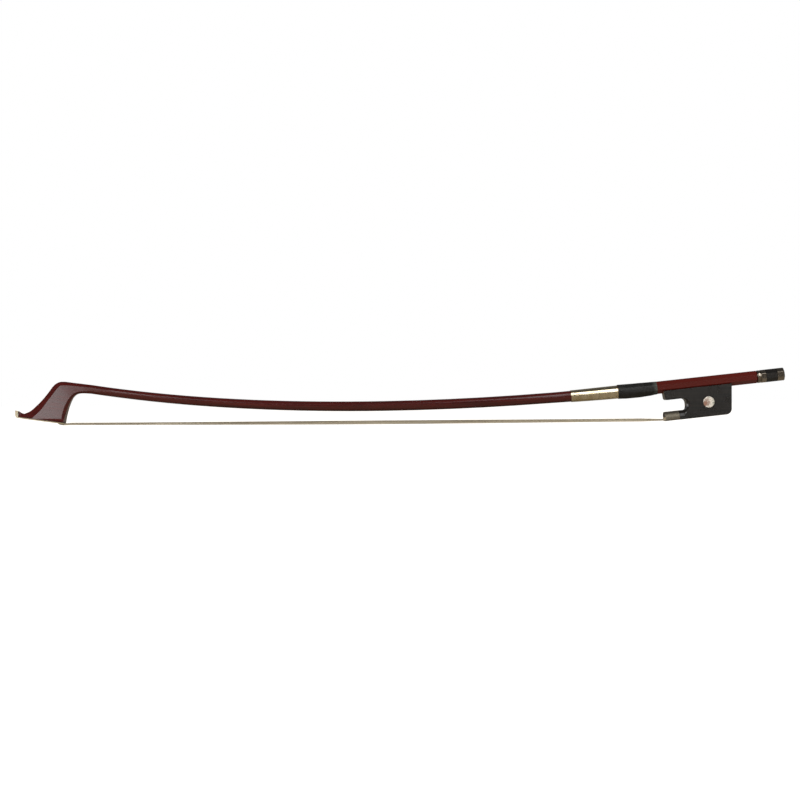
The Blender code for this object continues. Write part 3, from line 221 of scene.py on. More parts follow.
def grainOf(point):
    # (distance along the stick, across, up from its line), for grain that follows the stick
    flat = Vector((point.x, point.z))
    nearest = min(range(0, len(linePoints), 3), key=lambda i: (linePoints[i] - flat).length_squared)
    best = max(min(nearest, len(linePoints) - 2), 1)
    direction = (linePoints[best - 1] - linePoints[best + 1]).normalized()
    up = Vector((-direction.y, direction.x))
    offset = flat - linePoints[best]
    return (lineDistances[best] - offset.dot(direction), point.y, offset.dot(up))


# materials, with the sizes of their patterns in millimetres, as 10 mm over the marks in it

stickFinish = {  # pernambuco, French polished: satin gloss over a deep red-brown with fine pores
    "shader": {"Roughness": 0.20, "IOR": 1.50},
    "deep": "#320804",
    "middle": "#3e0a06",
    "light": "#4b1009",
    "worn": "#5a160d",
    "pore": "#1f0603",
    "growthLines": 10 / 5.2,  # coarser than in the wood, so that they show
    "poreLines": 10 / 19,  # the same
    "clouds": 10 / 0.6,
    "wornFrom": 0.20,  # towards the handle's end, by distance from the butt in metres
    "wornTo": 0.02,
    "wornShare": 0.70,
    "reliefDepth": 0.00001,
}


def bowWood():
    material, tree, shader = startMaterial("pernambucoPolished", stickFinish["shader"])
    grain = addNode(tree, "ShaderNodeAttribute", {"attribute_name": "grainPlace"}).outputs["Vector"]
    lines = grainPattern(tree, grain, stickFinish["growthLines"], along=0.045, detail=4.0)
    clouds = grainPattern(tree, grain, stickFinish["clouds"], along=0.3, detail=2.0)
    pores = grainPattern(tree, grain, stickFinish["poreLines"], along=0.06, detail=2.0)
    base = addNode(tree, "ShaderNodeValToRGB", {"Fac": lines, "stops": [
        (0.32, stickFinish["deep"]), (0.52, stickFinish["middle"]), (0.74, stickFinish["light"]),
    ]}).outputs["Color"]
    cloudShare = addNode(tree, "ShaderNodeMapRange", {
        "Value": clouds, "From Min": 0.35, "From Max": 0.7, "To Max": 0.45,
    }).outputs["Result"]
    toned = addNode(tree, "ShaderNodeMix", {
        "data_type": "RGBA", 0: cloudShare, 6: base, 7: linear(stickFinish["light"]),
    }).outputs[2]
    poreShare = addNode(tree, "ShaderNodeMapRange", {
        "Value": pores, "From Min": 0.28, "From Max": 0.42, "To Min": 0.6, "To Max": 0.0,
    }).outputs["Result"]
    pored = addNode(tree, "ShaderNodeMix", {
        "data_type": "RGBA", 0: poreShare, 6: toned, 7: linear(stickFinish["pore"]),
    }).outputs[2]
    # the handle is rubbed brighter by the hand, most towards its end
    fromButt = addNode(tree, "ShaderNodeSeparateXYZ", {"Vector": grain}).outputs["X"]
    wornShare = addNode(tree, "ShaderNodeMapRange", {
        "Value": fromButt, "From Min": stickFinish["wornFrom"], "From Max": stickFinish["wornTo"],
        "To Max": stickFinish["wornShare"],
    }).outputs["Result"]
    colour = addNode(tree, "ShaderNodeMix", {
        "data_type": "RGBA", 0: wornShare, 6: pored, 7: linear(stickFinish["worn"]),
    }).outputs[2]
    gloss = addNode(tree, "ShaderNodeMapRange", {
        "Value": lines, "From Min": 0.3, "From Max": 0.8, "To Min": 0.18, "To Max": 0.22,
    }).outputs["Result"]
    finishMaterial(
        tree, shader, colour, pores, stickFinish["reliefDepth"], strength=0.2, roughness=gloss
    )
    return material


ebonyFinish = {  # African ebony, rubbed: almost black with brown streaks, a soft low gloss
    "shader": {"Roughness": 0.30, "IOR": 1.50},
    "black": "#100f0e",
    "brown": "#1f1a16",
    "liner": "#5c4a3c",  # the head's liner, paler than ebony: a painted sheen like the cheek's reflection, so that no dark line shows there
    "streaks": 10 / 7,  # coarser than in the wood, so that they show
    "wear": 10 / 1.4,
    "reliefDepth": 0.00001,
}


def ebony(name, base):
    material, tree, shader = startMaterial(name, ebonyFinish["shader"])
    place = addNode(tree, "ShaderNodeTexCoord").outputs["Object"]
    alongFrog = addNode(tree, "ShaderNodeMapping", {
        "Rotation": (0.0, stickLine["tilt"], 0.0), "Scale": (0.05, 1.0, 1.0), "Vector": place,
    }).outputs["Vector"]
    streaks = grainPattern(tree, alongFrog, ebonyFinish["streaks"], detail=4.0)
    wear = grainPattern(tree, place, ebonyFinish["wear"])
    colour = addNode(tree, "ShaderNodeValToRGB", {"Fac": streaks, "stops": [
        (0.35, ebonyFinish[base]), (0.72, ebonyFinish["brown"]),
    ]}).outputs["Color"]
    gloss = addNode(tree, "ShaderNodeMapRange", {
        "Value": wear, "From Min": 0.3, "From Max": 0.7, "To Min": 0.25, "To Max": 0.35,
    }).outputs["Result"]
    finishMaterial(
        tree, shader, colour, streaks, ebonyFinish["reliefDepth"], strength=0.25, roughness=gloss
    )
    return material


nickelFinish = {  # nickel silver, drawn and polished, dulled by handling: warm grey mirror
    "shader": {"Metallic": 1.0, "Roughness": 0.24},
    # kind: (bright, dull, least roughness, most roughness)
    "polished": ("#bdb6a6", "#a1998a", 0.22, 0.28),
    "handled": ("#a0968a", "#7d7365", 0.13, 0.18),  # the button, darker and browner from fingers
    "satin": ("#878072", "#746d5f", 0.54, 0.60),  # the ferrule, rubbed dull by the thumb
    "wire": ("#e0d3b6", "#cbb994", 0.13, 0.16),
    "tarnish": 10 / 1.6,
    "scratches": 10 / 18,  # coarser than in the metal, so that they show
    "reliefDepth": 0.000001,
}


def nickelSilver(name, kind):
    material, tree, shader = startMaterial(name, nickelFinish["shader"])
    bright, dull, least, most = nickelFinish[kind]
    place = addNode(tree, "ShaderNodeTexCoord").outputs["Object"]
    tarnish = grainPattern(tree, place, nickelFinish["tarnish"], roughness=0.5)
    scratches = grainPattern(tree, place, nickelFinish["scratches"], along=0.15, detail=2.0)
    colour = addNode(tree, "ShaderNodeValToRGB", {
        "Fac": tarnish, "stops": [(0.38, bright), (0.72, dull)],
    }).outputs["Color"]
    both = addNode(
        tree, "ShaderNodeMath", {"operation": "MULTIPLY", 0: tarnish, 1: scratches}
    ).outputs[0]
    gloss = addNode(tree, "ShaderNodeMapRange", {
        "Value": both, "From Min": 0.15, "From Max": 0.40, "To Min": least, "To Max": most,
    }).outputs["Result"]
    finishMaterial(
        tree, shader, colour, scratches, nickelFinish["reliefDepth"], strength=0.1, roughness=gloss
    )
    return material


leatherFinish = {  # thin goatskin, dyed black: fine pebbled grain, low sheen, grey where it is skived
    "shader": {"Roughness": 0.44, "IOR": 1.41, "Sheen Weight": 0.02, "Sheen Roughness": 0.5},
    "black": "#0d0d0c",
    "worn": "#191917",
    "skived": "#4c504a",
    "pebbles": 10 / 15,
    "creases": 10 / 4.2,
    "rubbed": 10 / 1.6,
    "reliefDepth": 0.00012,
}


def gripLeather():
    material, tree, shader = startMaterial("goatskinBlack", leatherFinish["shader"])
    place = addNode(tree, "ShaderNodeTexCoord").outputs["Object"]
    along = addNode(tree, "ShaderNodeAttribute", {"attribute_name": "alongGrip"}).outputs["Fac"]
    pebbles = addNode(tree, "ShaderNodeTexVoronoi", {
        "Scale": 1000 / leatherFinish["pebbles"], "Randomness": 1.0, "Vector": place,
    }).outputs["Distance"]
    creases = grainPattern(tree, place, leatherFinish["creases"], along=1.6)
    rubbed = grainPattern(tree, place, leatherFinish["rubbed"])
    wornShare = addNode(tree, "ShaderNodeMapRange", {
        "Value": rubbed, "From Min": 0.42, "From Max": 0.72, "To Max": 0.8,
    }).outputs["Result"]
    base = addNode(tree, "ShaderNodeMix", {
        "data_type": "RGBA", 0: wornShare,
        6: linear(leatherFinish["black"]), 7: linear(leatherFinish["worn"]),
    }).outputs[2]
    # the last few millimetres are pared thin and show the lighter flesh side
    pared = addNode(tree, "ShaderNodeMapRange", {
        "Value": along, "From Min": 0.86, "From Max": 0.99, "To Max": 0.75,
    }).outputs["Result"]
    ragged = addNode(tree, "ShaderNodeMapRange", {
        "Value": creases, "From Min": 0.3, "From Max": 0.8, "To Min": -0.15, "To Max": 0.2,
    }).outputs["Result"]
    skived = addNode(tree, "ShaderNodeMath", {"operation": "ADD", 0: pared, 1: ragged}).outputs[0]
    colour = addNode(tree, "ShaderNodeMix", {
        "data_type": "RGBA", 0: skived, 6: base, 7: linear(leatherFinish["skived"]),
    }).outputs[2]
    gloss = addNode(tree, "ShaderNodeMapRange", {
        "Value": rubbed, "From Min": 0.3, "From Max": 0.7, "To Min": 0.38, "To Max": 0.54,
    }).outputs["Result"]
    relief = addNode(tree, "ShaderNodeMath", {"operation": "ADD", 0: pebbles, 1: creases}).outputs[0]
    finishMaterial(
        tree, shader, colour, relief, leatherFinish["reliefDepth"], strength=0.5, roughness=gloss
    )
    return material


hairFinish = {  # unbleached horsehair: cream to tan in streaks along the hairs, a soft silky gloss
    "shader": {"Roughness": 0.42, "IOR": 1.55, "Sheen Weight": 0.15, "Sheen Roughness": 0.4},
    "shade": "#776c58",
    "cream": "#a89c85",
    "pale": "#d0c7b3",
    "clean": "#dccfb6",
    "cleanFrom": 0.04,  # towards the frog, in metres from the bow's middle
    "cleanTo": 0.22,
    "cleanShare": 0.55,
    "fibres": 10 / 24,  # coarser than the hairs, so that they show
    "reliefDepth": 0.00005,
}


def horseHair(name, paintedShade):
    material, tree, shader = startMaterial(name, hairFinish["shader"])
    place = addNode(tree, "ShaderNodeTexCoord").outputs["Object"]
    fibres = grainPattern(tree, place, hairFinish["fibres"], along=0.008, detail=2.0)
    mixed = addNode(tree, "ShaderNodeValToRGB", {"Fac": fibres, "stops": [
        (0.30, hairFinish["shade"]), (0.52, hairFinish["cream"]), (0.75, hairFinish["pale"]),
    ]}).outputs["Color"]
    along = addNode(tree, "ShaderNodeSeparateXYZ", {"Vector": place}).outputs["X"]
    cleanShare = addNode(tree, "ShaderNodeMapRange", {
        "Value": along, "From Min": hairFinish["cleanFrom"], "From Max": hairFinish["cleanTo"],
        "To Max": hairFinish["cleanShare"],
    }).outputs["Result"]
    cleaned = addNode(tree, "ShaderNodeMix", {
        "data_type": "RGBA", 0: cleanShare, 6: mixed, 7: linear(hairFinish["clean"]),
    }).outputs[2]
    # painted shade: inside copies are mixed this far towards the darkest hair colour
    colour = addNode(tree, "ShaderNodeMix", {
        "data_type": "RGBA", 0: paintedShade, 6: cleaned, 7: linear(hairFinish["shade"]),
    }).outputs[2]
    finishMaterial(tree, shader, colour, fibres, hairFinish["reliefDepth"], strength=0.4)
    return material


pearlFinish = {  # mother-of-pearl, cut and polished: milky, with slow pink and green clouds
    "shader": {"Roughness": 0.20, "IOR": 1.60, "Coat Weight": 0.3, "Coat Roughness": 0.08},
    "flush": "#96705f",
    "milk": "#b3a498",
    # painted sheen: the nacre's brightest shine, laid into the colour
    "white": "#ece3d6",
    "grey": "#979789",
    "flushAside": (-0.0026, -0.0004),  # from the eye's middle, towards the head and down
    "bandWidth": 0.0070,  # from the flush's middle out to the grey
    "clouds": 10 / 2.9,
    "reliefDepth": 0.00002,
}


def motherOfPearl():
    # growth layers that the cut lays open as bands round a pink flush, broken by the nacre's clouds;
    # the white band is painted sheen, while the flush, milk and grey are the pearl's own colours
    material, tree, shader = startMaterial("motherOfPearlPolished", pearlFinish["shader"])
    place = addNode(tree, "ShaderNodeTexCoord").outputs["Object"]
    eyeLow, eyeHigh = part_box("pearl_eye_left")
    asideX, asideZ = pearlFinish["flushAside"]
    flushAt = ((eyeLow.x + eyeHigh.x) / 2 + asideX, 0.0, (eyeLow.z + eyeHigh.z) / 2 + asideZ)
    clouds = grainPattern(tree, place, pearlFinish["clouds"], distortion=0.8)
    fromSide = addNode(
        tree, "ShaderNodeVectorMath", {"operation": "MULTIPLY", 0: place, 1: (1.0, 0.0, 1.0)}
    ).outputs["Vector"]
    away = addNode(
        tree, "ShaderNodeVectorMath", {"operation": "DISTANCE", 0: fromSide, 1: flushAt}
    ).outputs["Value"]
    band = addNode(tree, "ShaderNodeMapRange", {
        "Value": away, "From Max": pearlFinish["bandWidth"], "To Max": 0.8,
    }).outputs["Result"]
    bend = addNode(tree, "ShaderNodeMapRange", {
        "Value": clouds, "From Min": 0.3, "From Max": 0.7, "To Min": -0.34, "To Max": 0.34,
    }).outputs["Result"]
    bent = addNode(tree, "ShaderNodeMath", {"operation": "ADD", 0: band, 1: bend}).outputs[0]
    # the white stop is painted sheen; flush, milk and grey are the pearl's own colours
    colour = addNode(tree, "ShaderNodeValToRGB", {"Fac": bent, "stops": [
        (0.18, pearlFinish["flush"]), (0.40, pearlFinish["milk"]),
        (0.60, pearlFinish["white"]), (0.90, pearlFinish["grey"]),
    ]}).outputs["Color"]
    gloss = addNode(tree, "ShaderNodeMapRange", {
        "Value": clouds, "From Min": 0.3, "From Max": 0.7, "To Min": 0.14, "To Max": 0.24,
    }).outputs["Result"]
    finishMaterial(
        tree, shader, colour, clouds, pearlFinish["reliefDepth"], strength=0.2, roughness=gloss
    )
    return material


boneFinish = {  # ox bone, filed and polished: warm cream with fine darker pores along it
    "shader": {"Roughness": 0.36, "IOR": 1.54, "Subsurface Weight": 0.08, "Subsurface Scale": 0.001},
    "cream": "#ada186",
    "yellow": "#978868",
    "pore": "#7d6e54",
    "clouds": 10 / 1.8,
    "poreLines": 10 / 26,
    "reliefDepth": 0.00001,
}


def polishedBone():
    material, tree, shader = startMaterial("oxBonePolished", boneFinish["shader"])
    place = addNode(tree, "ShaderNodeTexCoord").outputs["Object"]
    clouds = grainPattern(tree, place, boneFinish["clouds"])
    pores = grainPattern(tree, place, boneFinish["poreLines"], along=0.12, detail=2.0)
    base = addNode(tree, "ShaderNodeValToRGB", {"Fac": clouds, "stops": [
        (0.35, boneFinish["yellow"]), (0.62, boneFinish["cream"]),
    ]}).outputs["Color"]
    poreShare = addNode(tree, "ShaderNodeMapRange", {
        "Value": pores, "From Min": 0.28, "From Max": 0.38, "To Min": 0.4, "To Max": 0.0,
    }).outputs["Result"]
    colour = addNode(tree, "ShaderNodeMix", {
        "data_type": "RGBA", 0: poreShare, 6: base, 7: linear(boneFinish["pore"]),
    }).outputs[2]
    finishMaterial(tree, shader, colour, pores, boneFinish["reliefDepth"], strength=0.2)
    return material


innerFinishes = {  # pieces inside the frog and the head, each in its own plain stuff
    # name: (shader, dark, light, size of the marks)
    "mapleRaw": ({"Roughness": 0.65}, "#b9a07a", "#cdb78f", 10 / 9),
    "threadWaxed": ({"Roughness": 0.70}, "#5c4a35", "#7a6548", 10 / 35),
    "brassBare": ({"Metallic": 1.0, "Roughness": 0.35}, "#b0883e", "#c9a456", 10 / 6),
    "steelBare": ({"Metallic": 1.0, "Roughness": 0.33}, "#8f8f8d", "#b0b0ad", 10 / 9),
}


def innerMaterial(name):
    finish, dark, light, marks = innerFinishes[name]
    material, tree, shader = startMaterial(name, finish)
    place = addNode(tree, "ShaderNodeTexCoord").outputs["Object"]
    pattern = grainPattern(tree, place, marks, along=0.2)
    colour = addNode(tree, "ShaderNodeValToRGB", {
        "Fac": pattern, "stops": [(0.35, dark), (0.7, light)],
    }).outputs["Color"]
    finishMaterial(tree, shader, colour, pattern, depth=0.00003, strength=0.3)
    return material


wood = bowWood()
blackWood = ebony("ebonyRubbed", "black")
# ebony painted paler, as a painted sheen on the liner's side
linerWoodPaintedSheen = ebony("ebonyLinerPaintedSheen", "liner")
silver = nickelSilver("nickelSilverPolished", "polished")
buttonSilver = nickelSilver("nickelSilverHandled", "handled")
satinSilver = nickelSilver("nickelSilverSatin", "satin")
wireSilver = nickelSilver("nickelSilverWire", "wire")
leather = gripLeather()
hairStuff = horseHair("horsehairNatural", 0.0)
# a copy of the hair darkened with painted shade, for the core and the tail inside the frog
innerHairPaintedShade = horseHair("horsehairInnerPaintedShade", 0.45)
pearl = motherOfPearl()
bone = polishedBone()
maple = innerMaterial("mapleRaw")
thread = innerMaterial("threadWaxed")
brass = innerMaterial("brassBare")
steel = innerMaterial("steelBare")
print("materials made")


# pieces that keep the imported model's shape, with their doubles merged and their facets smoothed

dressing = {
    "mergeDistance": 2e-6,
    "flatAngle": math.radians(0.4),  # faces that meet flatter than this become one
    "bevelSegments": 2,
    "bevelAngle": math.radians(40),
}
dressedNodes = {
    # node: (new name, material, slot, body, angle in degrees past which an edge stays crisp, bevel)
    "stick": ("stickDressed", wood, "stick_wood", "stick", 19, 0.0),
    "tip_liner": ("linerDressed", linerWoodPaintedSheen, "ebony", "stick", 25, 0.0),
    "tip_plate": ("plateDressed", bone, "bone", "stick", 35, 0.0),
    "frog_body": ("frogDressed", blackWood, "ebony", "frog", 38, 0.0),
    "underslide": ("liningDressed", silver, "nickel_silver", "frog", 30, 0.0),
    "ferrule": ("ferruleDressed", satinSilver, "nickel_silver", "frog", 40, 0.00015),
    "pearl_slide": ("pearlSlideDressed", pearl, "mother_of_pearl", "frog", 30, 0.00015),
    "pearl_eye_left": ("eyeLeftDressed", pearl, "mother_of_pearl", "frog", 30, 0.00035),
    "pearl_eye_right": ("eyeRightDressed", pearl, "mother_of_pearl", "frog", 30, 0.00035),
    "button_core": ("buttonEbonyDressed", blackWood, "ebony", "screw", 30, 0.0),
    "button_ring_front": ("ringFrontDressed", buttonSilver, "nickel_silver", "screw", 30, 0.00012),
    "button_ring_back": ("ringBackDressed", buttonSilver, "nickel_silver", "screw", 30, 0.00012),
}


def mergedCopy(node, name, material, crispAngle, bevelWidth):
    source = nodes[node].data
    mesh = bpy.data.meshes.new(name)
    mesh.from_pydata(
        [v.co.copy() for v in source.vertices], [], [list(p.vertices) for p in source.polygons]
    )
    work = bmesh.new()
    work.from_mesh(mesh)
    bmesh.ops.remove_doubles(work, verts=work.verts, dist=dressing["mergeDistance"])
    bmesh.ops.dissolve_limit(
        work, angle_limit=dressing["flatAngle"], verts=work.verts, edges=work.edges
    )
    bmesh.ops.recalc_face_normals(work, faces=work.faces)
    work.to_mesh(mesh)
    work.free()
    mesh.shade_smooth()
    mesh.set_sharp_from_angle(angle=math.radians(crispAngle))
    item = newObject(name, mesh, material)
    if bevelWidth:
        edges = item.modifiers.new("softened edges", "BEVEL")
        edges.width = bevelWidth
        edges.segments = dressing["bevelSegments"]
        edges.limit_method = "ANGLE"
        edges.angle_limit = dressing["bevelAngle"]
        edges.harden_normals = True
    return item


dressed = {}
for node, (name, material, slotName, body, crispAngle, bevelWidth) in dressedNodes.items():
    piece = mergedCopy(node, name, material, crispAngle, bevelWidth)
    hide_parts(node)
    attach(piece, body)
    dressed[node] = piece

stickMesh = dressed["stick"].data
grainPlace = stickMesh.attributes.new("grainPlace", "FLOAT_VECTOR", "POINT")
for i, vertex in enumerate(stickMesh.vertices):
    grainPlace.data[i].vector = grainOf(vertex.co)

innerNodes = {
    "head_plug": maple, "frog_plug": maple, "ferrule_wedge": maple,
    "tip_hair_knot": thread, "frog_hair_knot": thread, "frog_hair_tail": innerHairPaintedShade,
    "slide_backing": blackWood, "eyelet": brass, "screw_rod": steel,
    "underslide_screw_front": silver, "underslide_screw_rear": silver,
}
for node, material in innerNodes.items():
    materials = nodes[node].data.materials
    if len(materials):
        materials[0] = material
    else:
        materials.append(material)
print("packed shapes dressed")


# geometry node trees

def startTree(name, sockets):
    # a geometry tree with its named inputs, as (name, type, default)
    tree = bpy.data.node_groups.new(name, "GeometryNodeTree")
    tree.interface.new_socket("Geometry", in_out="INPUT", socket_type="NodeSocketGeometry")
    for socketName, kind, default in sockets:
        socket = tree.interface.new_socket(
            socketName, in_out="INPUT", socket_type="NodeSocket" + kind
        )
        if default is not None:
            socket.default_value = default
    tree.interface.new_socket("Geometry", in_out="OUTPUT", socket_type="NodeSocketGeometry")
    return tree, tree.nodes.new("NodeGroupInput"), tree.nodes.new("NodeGroupOutput")


def endTree(tree, outgoing, geometry, materialSocket):
    real = addNode(tree, "GeometryNodeRealizeInstances", {"Geometry": geometry})
    painted = addNode(tree, "GeometryNodeSetMaterial", {
        "Geometry": real.outputs["Geometry"], "Material": materialSocket,
    })
    tree.links.new(painted.outputs["Geometry"], outgoing.inputs["Geometry"])


def runTree(item, tree, values):
    # sets the inputs by identifier, then turns the evaluated result into a plain mesh
    modifier = item.modifiers.new(tree.name, "NODES")
    modifier.node_group = tree
    for socket in tree.interface.items_tree:
        if socket.item_type == "SOCKET" and socket.in_out == "INPUT" and socket.name in values:
            modifier[socket.identifier] = values[socket.name]
    depsgraph = bpy.context.evaluated_depsgraph_get()
    mesh = bpy.data.meshes.new_from_object(item.evaluated_get(depsgraph))
    item.modifiers.remove(modifier)
    return mesh


def pathMesh(name, points, outward):
    # a chain of edges whose points know which way is out, for a flattened wire
    mesh = bpy.data.meshes.new(name)
    mesh.from_pydata(points, [(i, i + 1) for i in range(len(points) - 1)], [])
    layer = mesh.attributes.new("outward", "FLOAT_VECTOR", "POINT")
    for i, direction in enumerate(outward):
        layer.data[i].vector = direction
    item = bpy.data.objects.new(name, mesh)
    scene.collection.objects.link(item)
    return item


def guideCurve(name, points):
    curve = bpy.data.curves.new(name, "CURVE")
    curve.dimensions = "3D"
    spline = curve.splines.new("POLY")
    spline.points.add(len(points) - 1)
    for i, point in enumerate(points):
        spline.points[i].co = (*point, 1.0)
    item = bpy.data.objects.new(name, curve)
    scene.collection.objects.link(item)
    return item


def wireTree():
    # flat drawn wire with rounded edges, its wide face turned outwards, along the guide
    tree, incoming, outgoing = startTree("wireAlongPath", [
        ("Wire width", "Float", 0.0003), ("Wire thickness", "Float", 0.0002),
        ("Edge radius", "Float", 0.00002), ("Edge steps", "Int", 2), ("Material", "Material", None),
    ])
    into = incoming.outputs
    path = addNode(tree, "GeometryNodeMeshToCurve", {"Mesh": into["Geometry"]})
    outward = addNode(
        tree, "GeometryNodeInputNamedAttribute", {"data_type": "FLOAT_VECTOR", "Name": "outward"}
    )
    faced = addNode(tree, "GeometryNodeSetCurveNormal", {
        "mode": "FREE", "Curve": path.outputs["Curve"], "Normal": outward.outputs["Attribute"],
    })
    flat = addNode(tree, "GeometryNodeCurvePrimitiveQuadrilateral", {
        "Width": into["Wire thickness"], "Height": into["Wire width"],
    })
    profile = addNode(tree, "GeometryNodeFilletCurve", {
        "mode": "POLY", "Curve": flat.outputs["Curve"], "Radius": into["Edge radius"],
        "Count": into["Edge steps"],
    })
    tube = addNode(tree, "GeometryNodeCurveToMesh", {
        "Fill Caps": True, "Curve": faced.outputs["Curve"],
        "Profile Curve": profile.outputs["Curve"],
    })
    endTree(tree, outgoing, tube.outputs["Mesh"], into["Material"])
    return tree


def bundleReach(tree, share, fromEnd, first, second, gatheredTo, gatheredShare):
    # half of a size that goes from one input to another, less where the bundle is gathered
    size = addNode(
        tree, "ShaderNodeMapRange", {"Value": share, "To Min": first, "To Max": second}
    ).outputs["Result"]
    halfGathered = addNode(
        tree, "ShaderNodeMath", {"operation": "MULTIPLY", 0: gatheredTo, 1: 0.5}
    ).outputs[0]
    opened = addNode(tree, "ShaderNodeMapRange", {
        "interpolation_type": "SMOOTHSTEP", "Value": fromEnd, "From Max": gatheredShare,
        "To Min": halfGathered, "To Max": 0.5,
    }).outputs["Result"]
    return addNode(tree, "ShaderNodeMath", {"operation": "MULTIPLY", 0: size, 1: opened}).outputs[0]


def strandTree():
    # many hairs along the guide, each at its own place in a flat bundle
    tree, incoming, outgoing = startTree("hairBundle", [
        ("Strands", "Int", 200), ("Front width", "Float", 0.010), ("Rear width", "Float", 0.011),
        ("Front thickness", "Float", 0.0018), ("Rear thickness", "Float", 0.0013),
        ("Gathered share", "Float", 0.02), ("Gathered thickness", "Float", 0.5),
        ("Gathered width", "Float", 0.8), ("Middle swell", "Float", 0.7),
        ("Strand diameter", "Float", 0.0002),
        ("Wander", "Float", 0.0002), ("Seed", "Int", 7),
        ("Material", "Material", None),
    ])
    into = incoming.outputs
    line = addNode(tree, "GeometryNodeMeshLine", {"Offset": (0, 0, 0), "Count": into["Strands"]})
    copies = addNode(tree, "GeometryNodeInstanceOnPoints", {
        "Points": line.outputs["Mesh"], "Instance": into["Geometry"],
    })
    curves = addNode(
        tree, "GeometryNodeRealizeInstances", {"Geometry": copies.outputs["Instances"]}
    ).outputs["Geometry"]
    index = addNode(tree, "GeometryNodeInputIndex").outputs["Index"]
    randomPlace = addNode(tree, "FunctionNodeRandomValue", {
        "data_type": "FLOAT_VECTOR", 0: (-1, -1, -1), 1: (1, 1, 1), "ID": index, "Seed": into["Seed"],
    }).outputs[0]
    perStrand = addNode(tree, "GeometryNodeFieldOnDomain", {
        "data_type": "FLOAT_VECTOR", "domain": "CURVE", 0: randomPlace,
    }).outputs[0]
    parts = addNode(tree, "ShaderNodeSeparateXYZ", {"Vector": perStrand}).outputs
    share = addNode(tree, "GeometryNodeSplineParameter").outputs["Factor"]

    # the swell: a hump that is 1 in the middle, narrowed by its third power
    rest = addNode(tree, "ShaderNodeMath", {"operation": "SUBTRACT", 0: 1.0, 1: share}).outputs[0]
    product = addNode(tree, "ShaderNodeMath", {"operation": "MULTIPLY", 0: share, 1: rest}).outputs[0]
    hump = addNode(tree, "ShaderNodeMath", {"operation": "MULTIPLY", 0: product, 1: 4.0}).outputs[0]
    narrow = addNode(tree, "ShaderNodeMath", {"operation": "POWER", 0: hump, 1: 3.0}).outputs[0]
    swell = addNode(tree, "ShaderNodeMath", {
        "operation": "MULTIPLY_ADD", 0: narrow, 1: into["Middle swell"], 2: 1.0,
    }).outputs[0]

    nearerEnd = addNode(tree, "ShaderNodeMath", {"operation": "MINIMUM", 0: share, 1: rest}).outputs[0]
    width = bundleReach(
        tree, share, share, into["Front width"], into["Rear width"],
        into["Gathered width"], into["Gathered share"],
    )
    thickness = bundleReach(
        tree, share, nearerEnd, into["Front thickness"], into["Rear thickness"],
        into["Gathered thickness"], into["Gathered share"],
    )
    swollen = addNode(
        tree, "ShaderNodeMath", {"operation": "MULTIPLY", 0: thickness, 1: swell}
    ).outputs[0]
    across = addNode(
        tree, "ShaderNodeMath", {"operation": "MULTIPLY", 0: parts["Y"], 1: width}
    ).outputs[0]
    rise = addNode(
        tree, "ShaderNodeMath", {"operation": "MULTIPLY", 0: parts["Z"], 1: swollen}
    ).outputs[0]

    # each hair wanders sideways on its own track through the noise
    trackLength = 9.0
    trackSpread = 40.0
    along = addNode(
        tree, "ShaderNodeMath", {"operation": "MULTIPLY", 0: share, 1: trackLength}
    ).outputs[0]
    own = addNode(
        tree, "ShaderNodeMath", {"operation": "MULTIPLY", 0: parts["X"], 1: trackSpread}
    ).outputs[0]
    track = addNode(tree, "ShaderNodeCombineXYZ", {"X": along, "Y": own}).outputs["Vector"]
    swing = addNode(tree, "ShaderNodeTexNoise", {
        "noise_dimensions": "2D", "Scale": 1.0, "Detail": 1.0, "Vector": track,
    }).outputs["Fac"]
    centred = addNode(tree, "ShaderNodeMath", {"operation": "SUBTRACT", 0: swing, 1: 0.5}).outputs[0]
    sway = addNode(
        tree, "ShaderNodeMath", {"operation": "MULTIPLY", 0: centred, 1: into["Wander"]}
    ).outputs[0]
    acrossAll = addNode(tree, "ShaderNodeMath", {"operation": "ADD", 0: across, 1: sway}).outputs[0]
    offset = addNode(tree, "ShaderNodeCombineXYZ", {"Y": acrossAll, "Z": rise}).outputs["Vector"]
    moved = addNode(
        tree, "GeometryNodeSetPosition", {"Geometry": curves, "Offset": offset}
    ).outputs["Geometry"]

    radius = addNode(
        tree, "ShaderNodeMath", {"operation": "DIVIDE", 0: into["Strand diameter"], 1: 2.0}
    ).outputs[0]
    profile = addNode(
        tree, "GeometryNodeCurvePrimitiveCircle", {"Resolution": 3, "Radius": radius}
    ).outputs["Curve"]
    tube = addNode(tree, "GeometryNodeCurveToMesh", {
        "Fill Caps": True, "Curve": moved, "Profile Curve": profile,
    }).outputs["Mesh"]
    endTree(tree, outgoing, tube, into["Material"])
    return tree


# wire winding

windingSizes = {
    "front": 0.1735,  # distance from the butt end
    "length": 0.0438,
    "wireWidth": 0.00032,
    "wireThickness": 0.00016,
    "edgeRadius": 0.00002,
    "edgeSteps": 2,
    "pitch": 0.00034,
    "pointsPerTurn": 32,  # so that the octagon's corners fall on points
    "lift": 0.00030,  # from the wood to the wire's middle
    "corners": 0.2,  # how much of the octagon still shows through the turns
    "crispAngle": math.radians(20),
}


def windingPath():
    turns = int(windingSizes["length"] / windingSizes["pitch"])
    count = turns * windingSizes["pointsPerTurn"]
    usable = windingSizes["length"] - windingSizes["wireWidth"]
    start = windingSizes["front"] - windingSizes["wireWidth"] / 2
    points = []
    outward = []
    for i in range(count + 1):
        distance = start - usable * i / count
        degrees = (360 * i / windingSizes["pointsPerTurn"]) % 360
        square = windingSizes["corners"] * squareness(distance)
        point = ringPoint(distance, degrees, windingSizes["lift"], square)
        centre, _ = lineAt(distance)
        points.append(point)
        outward.append((point - Vector((centre.x, 0.0, centre.y))).normalized())
    return points, outward


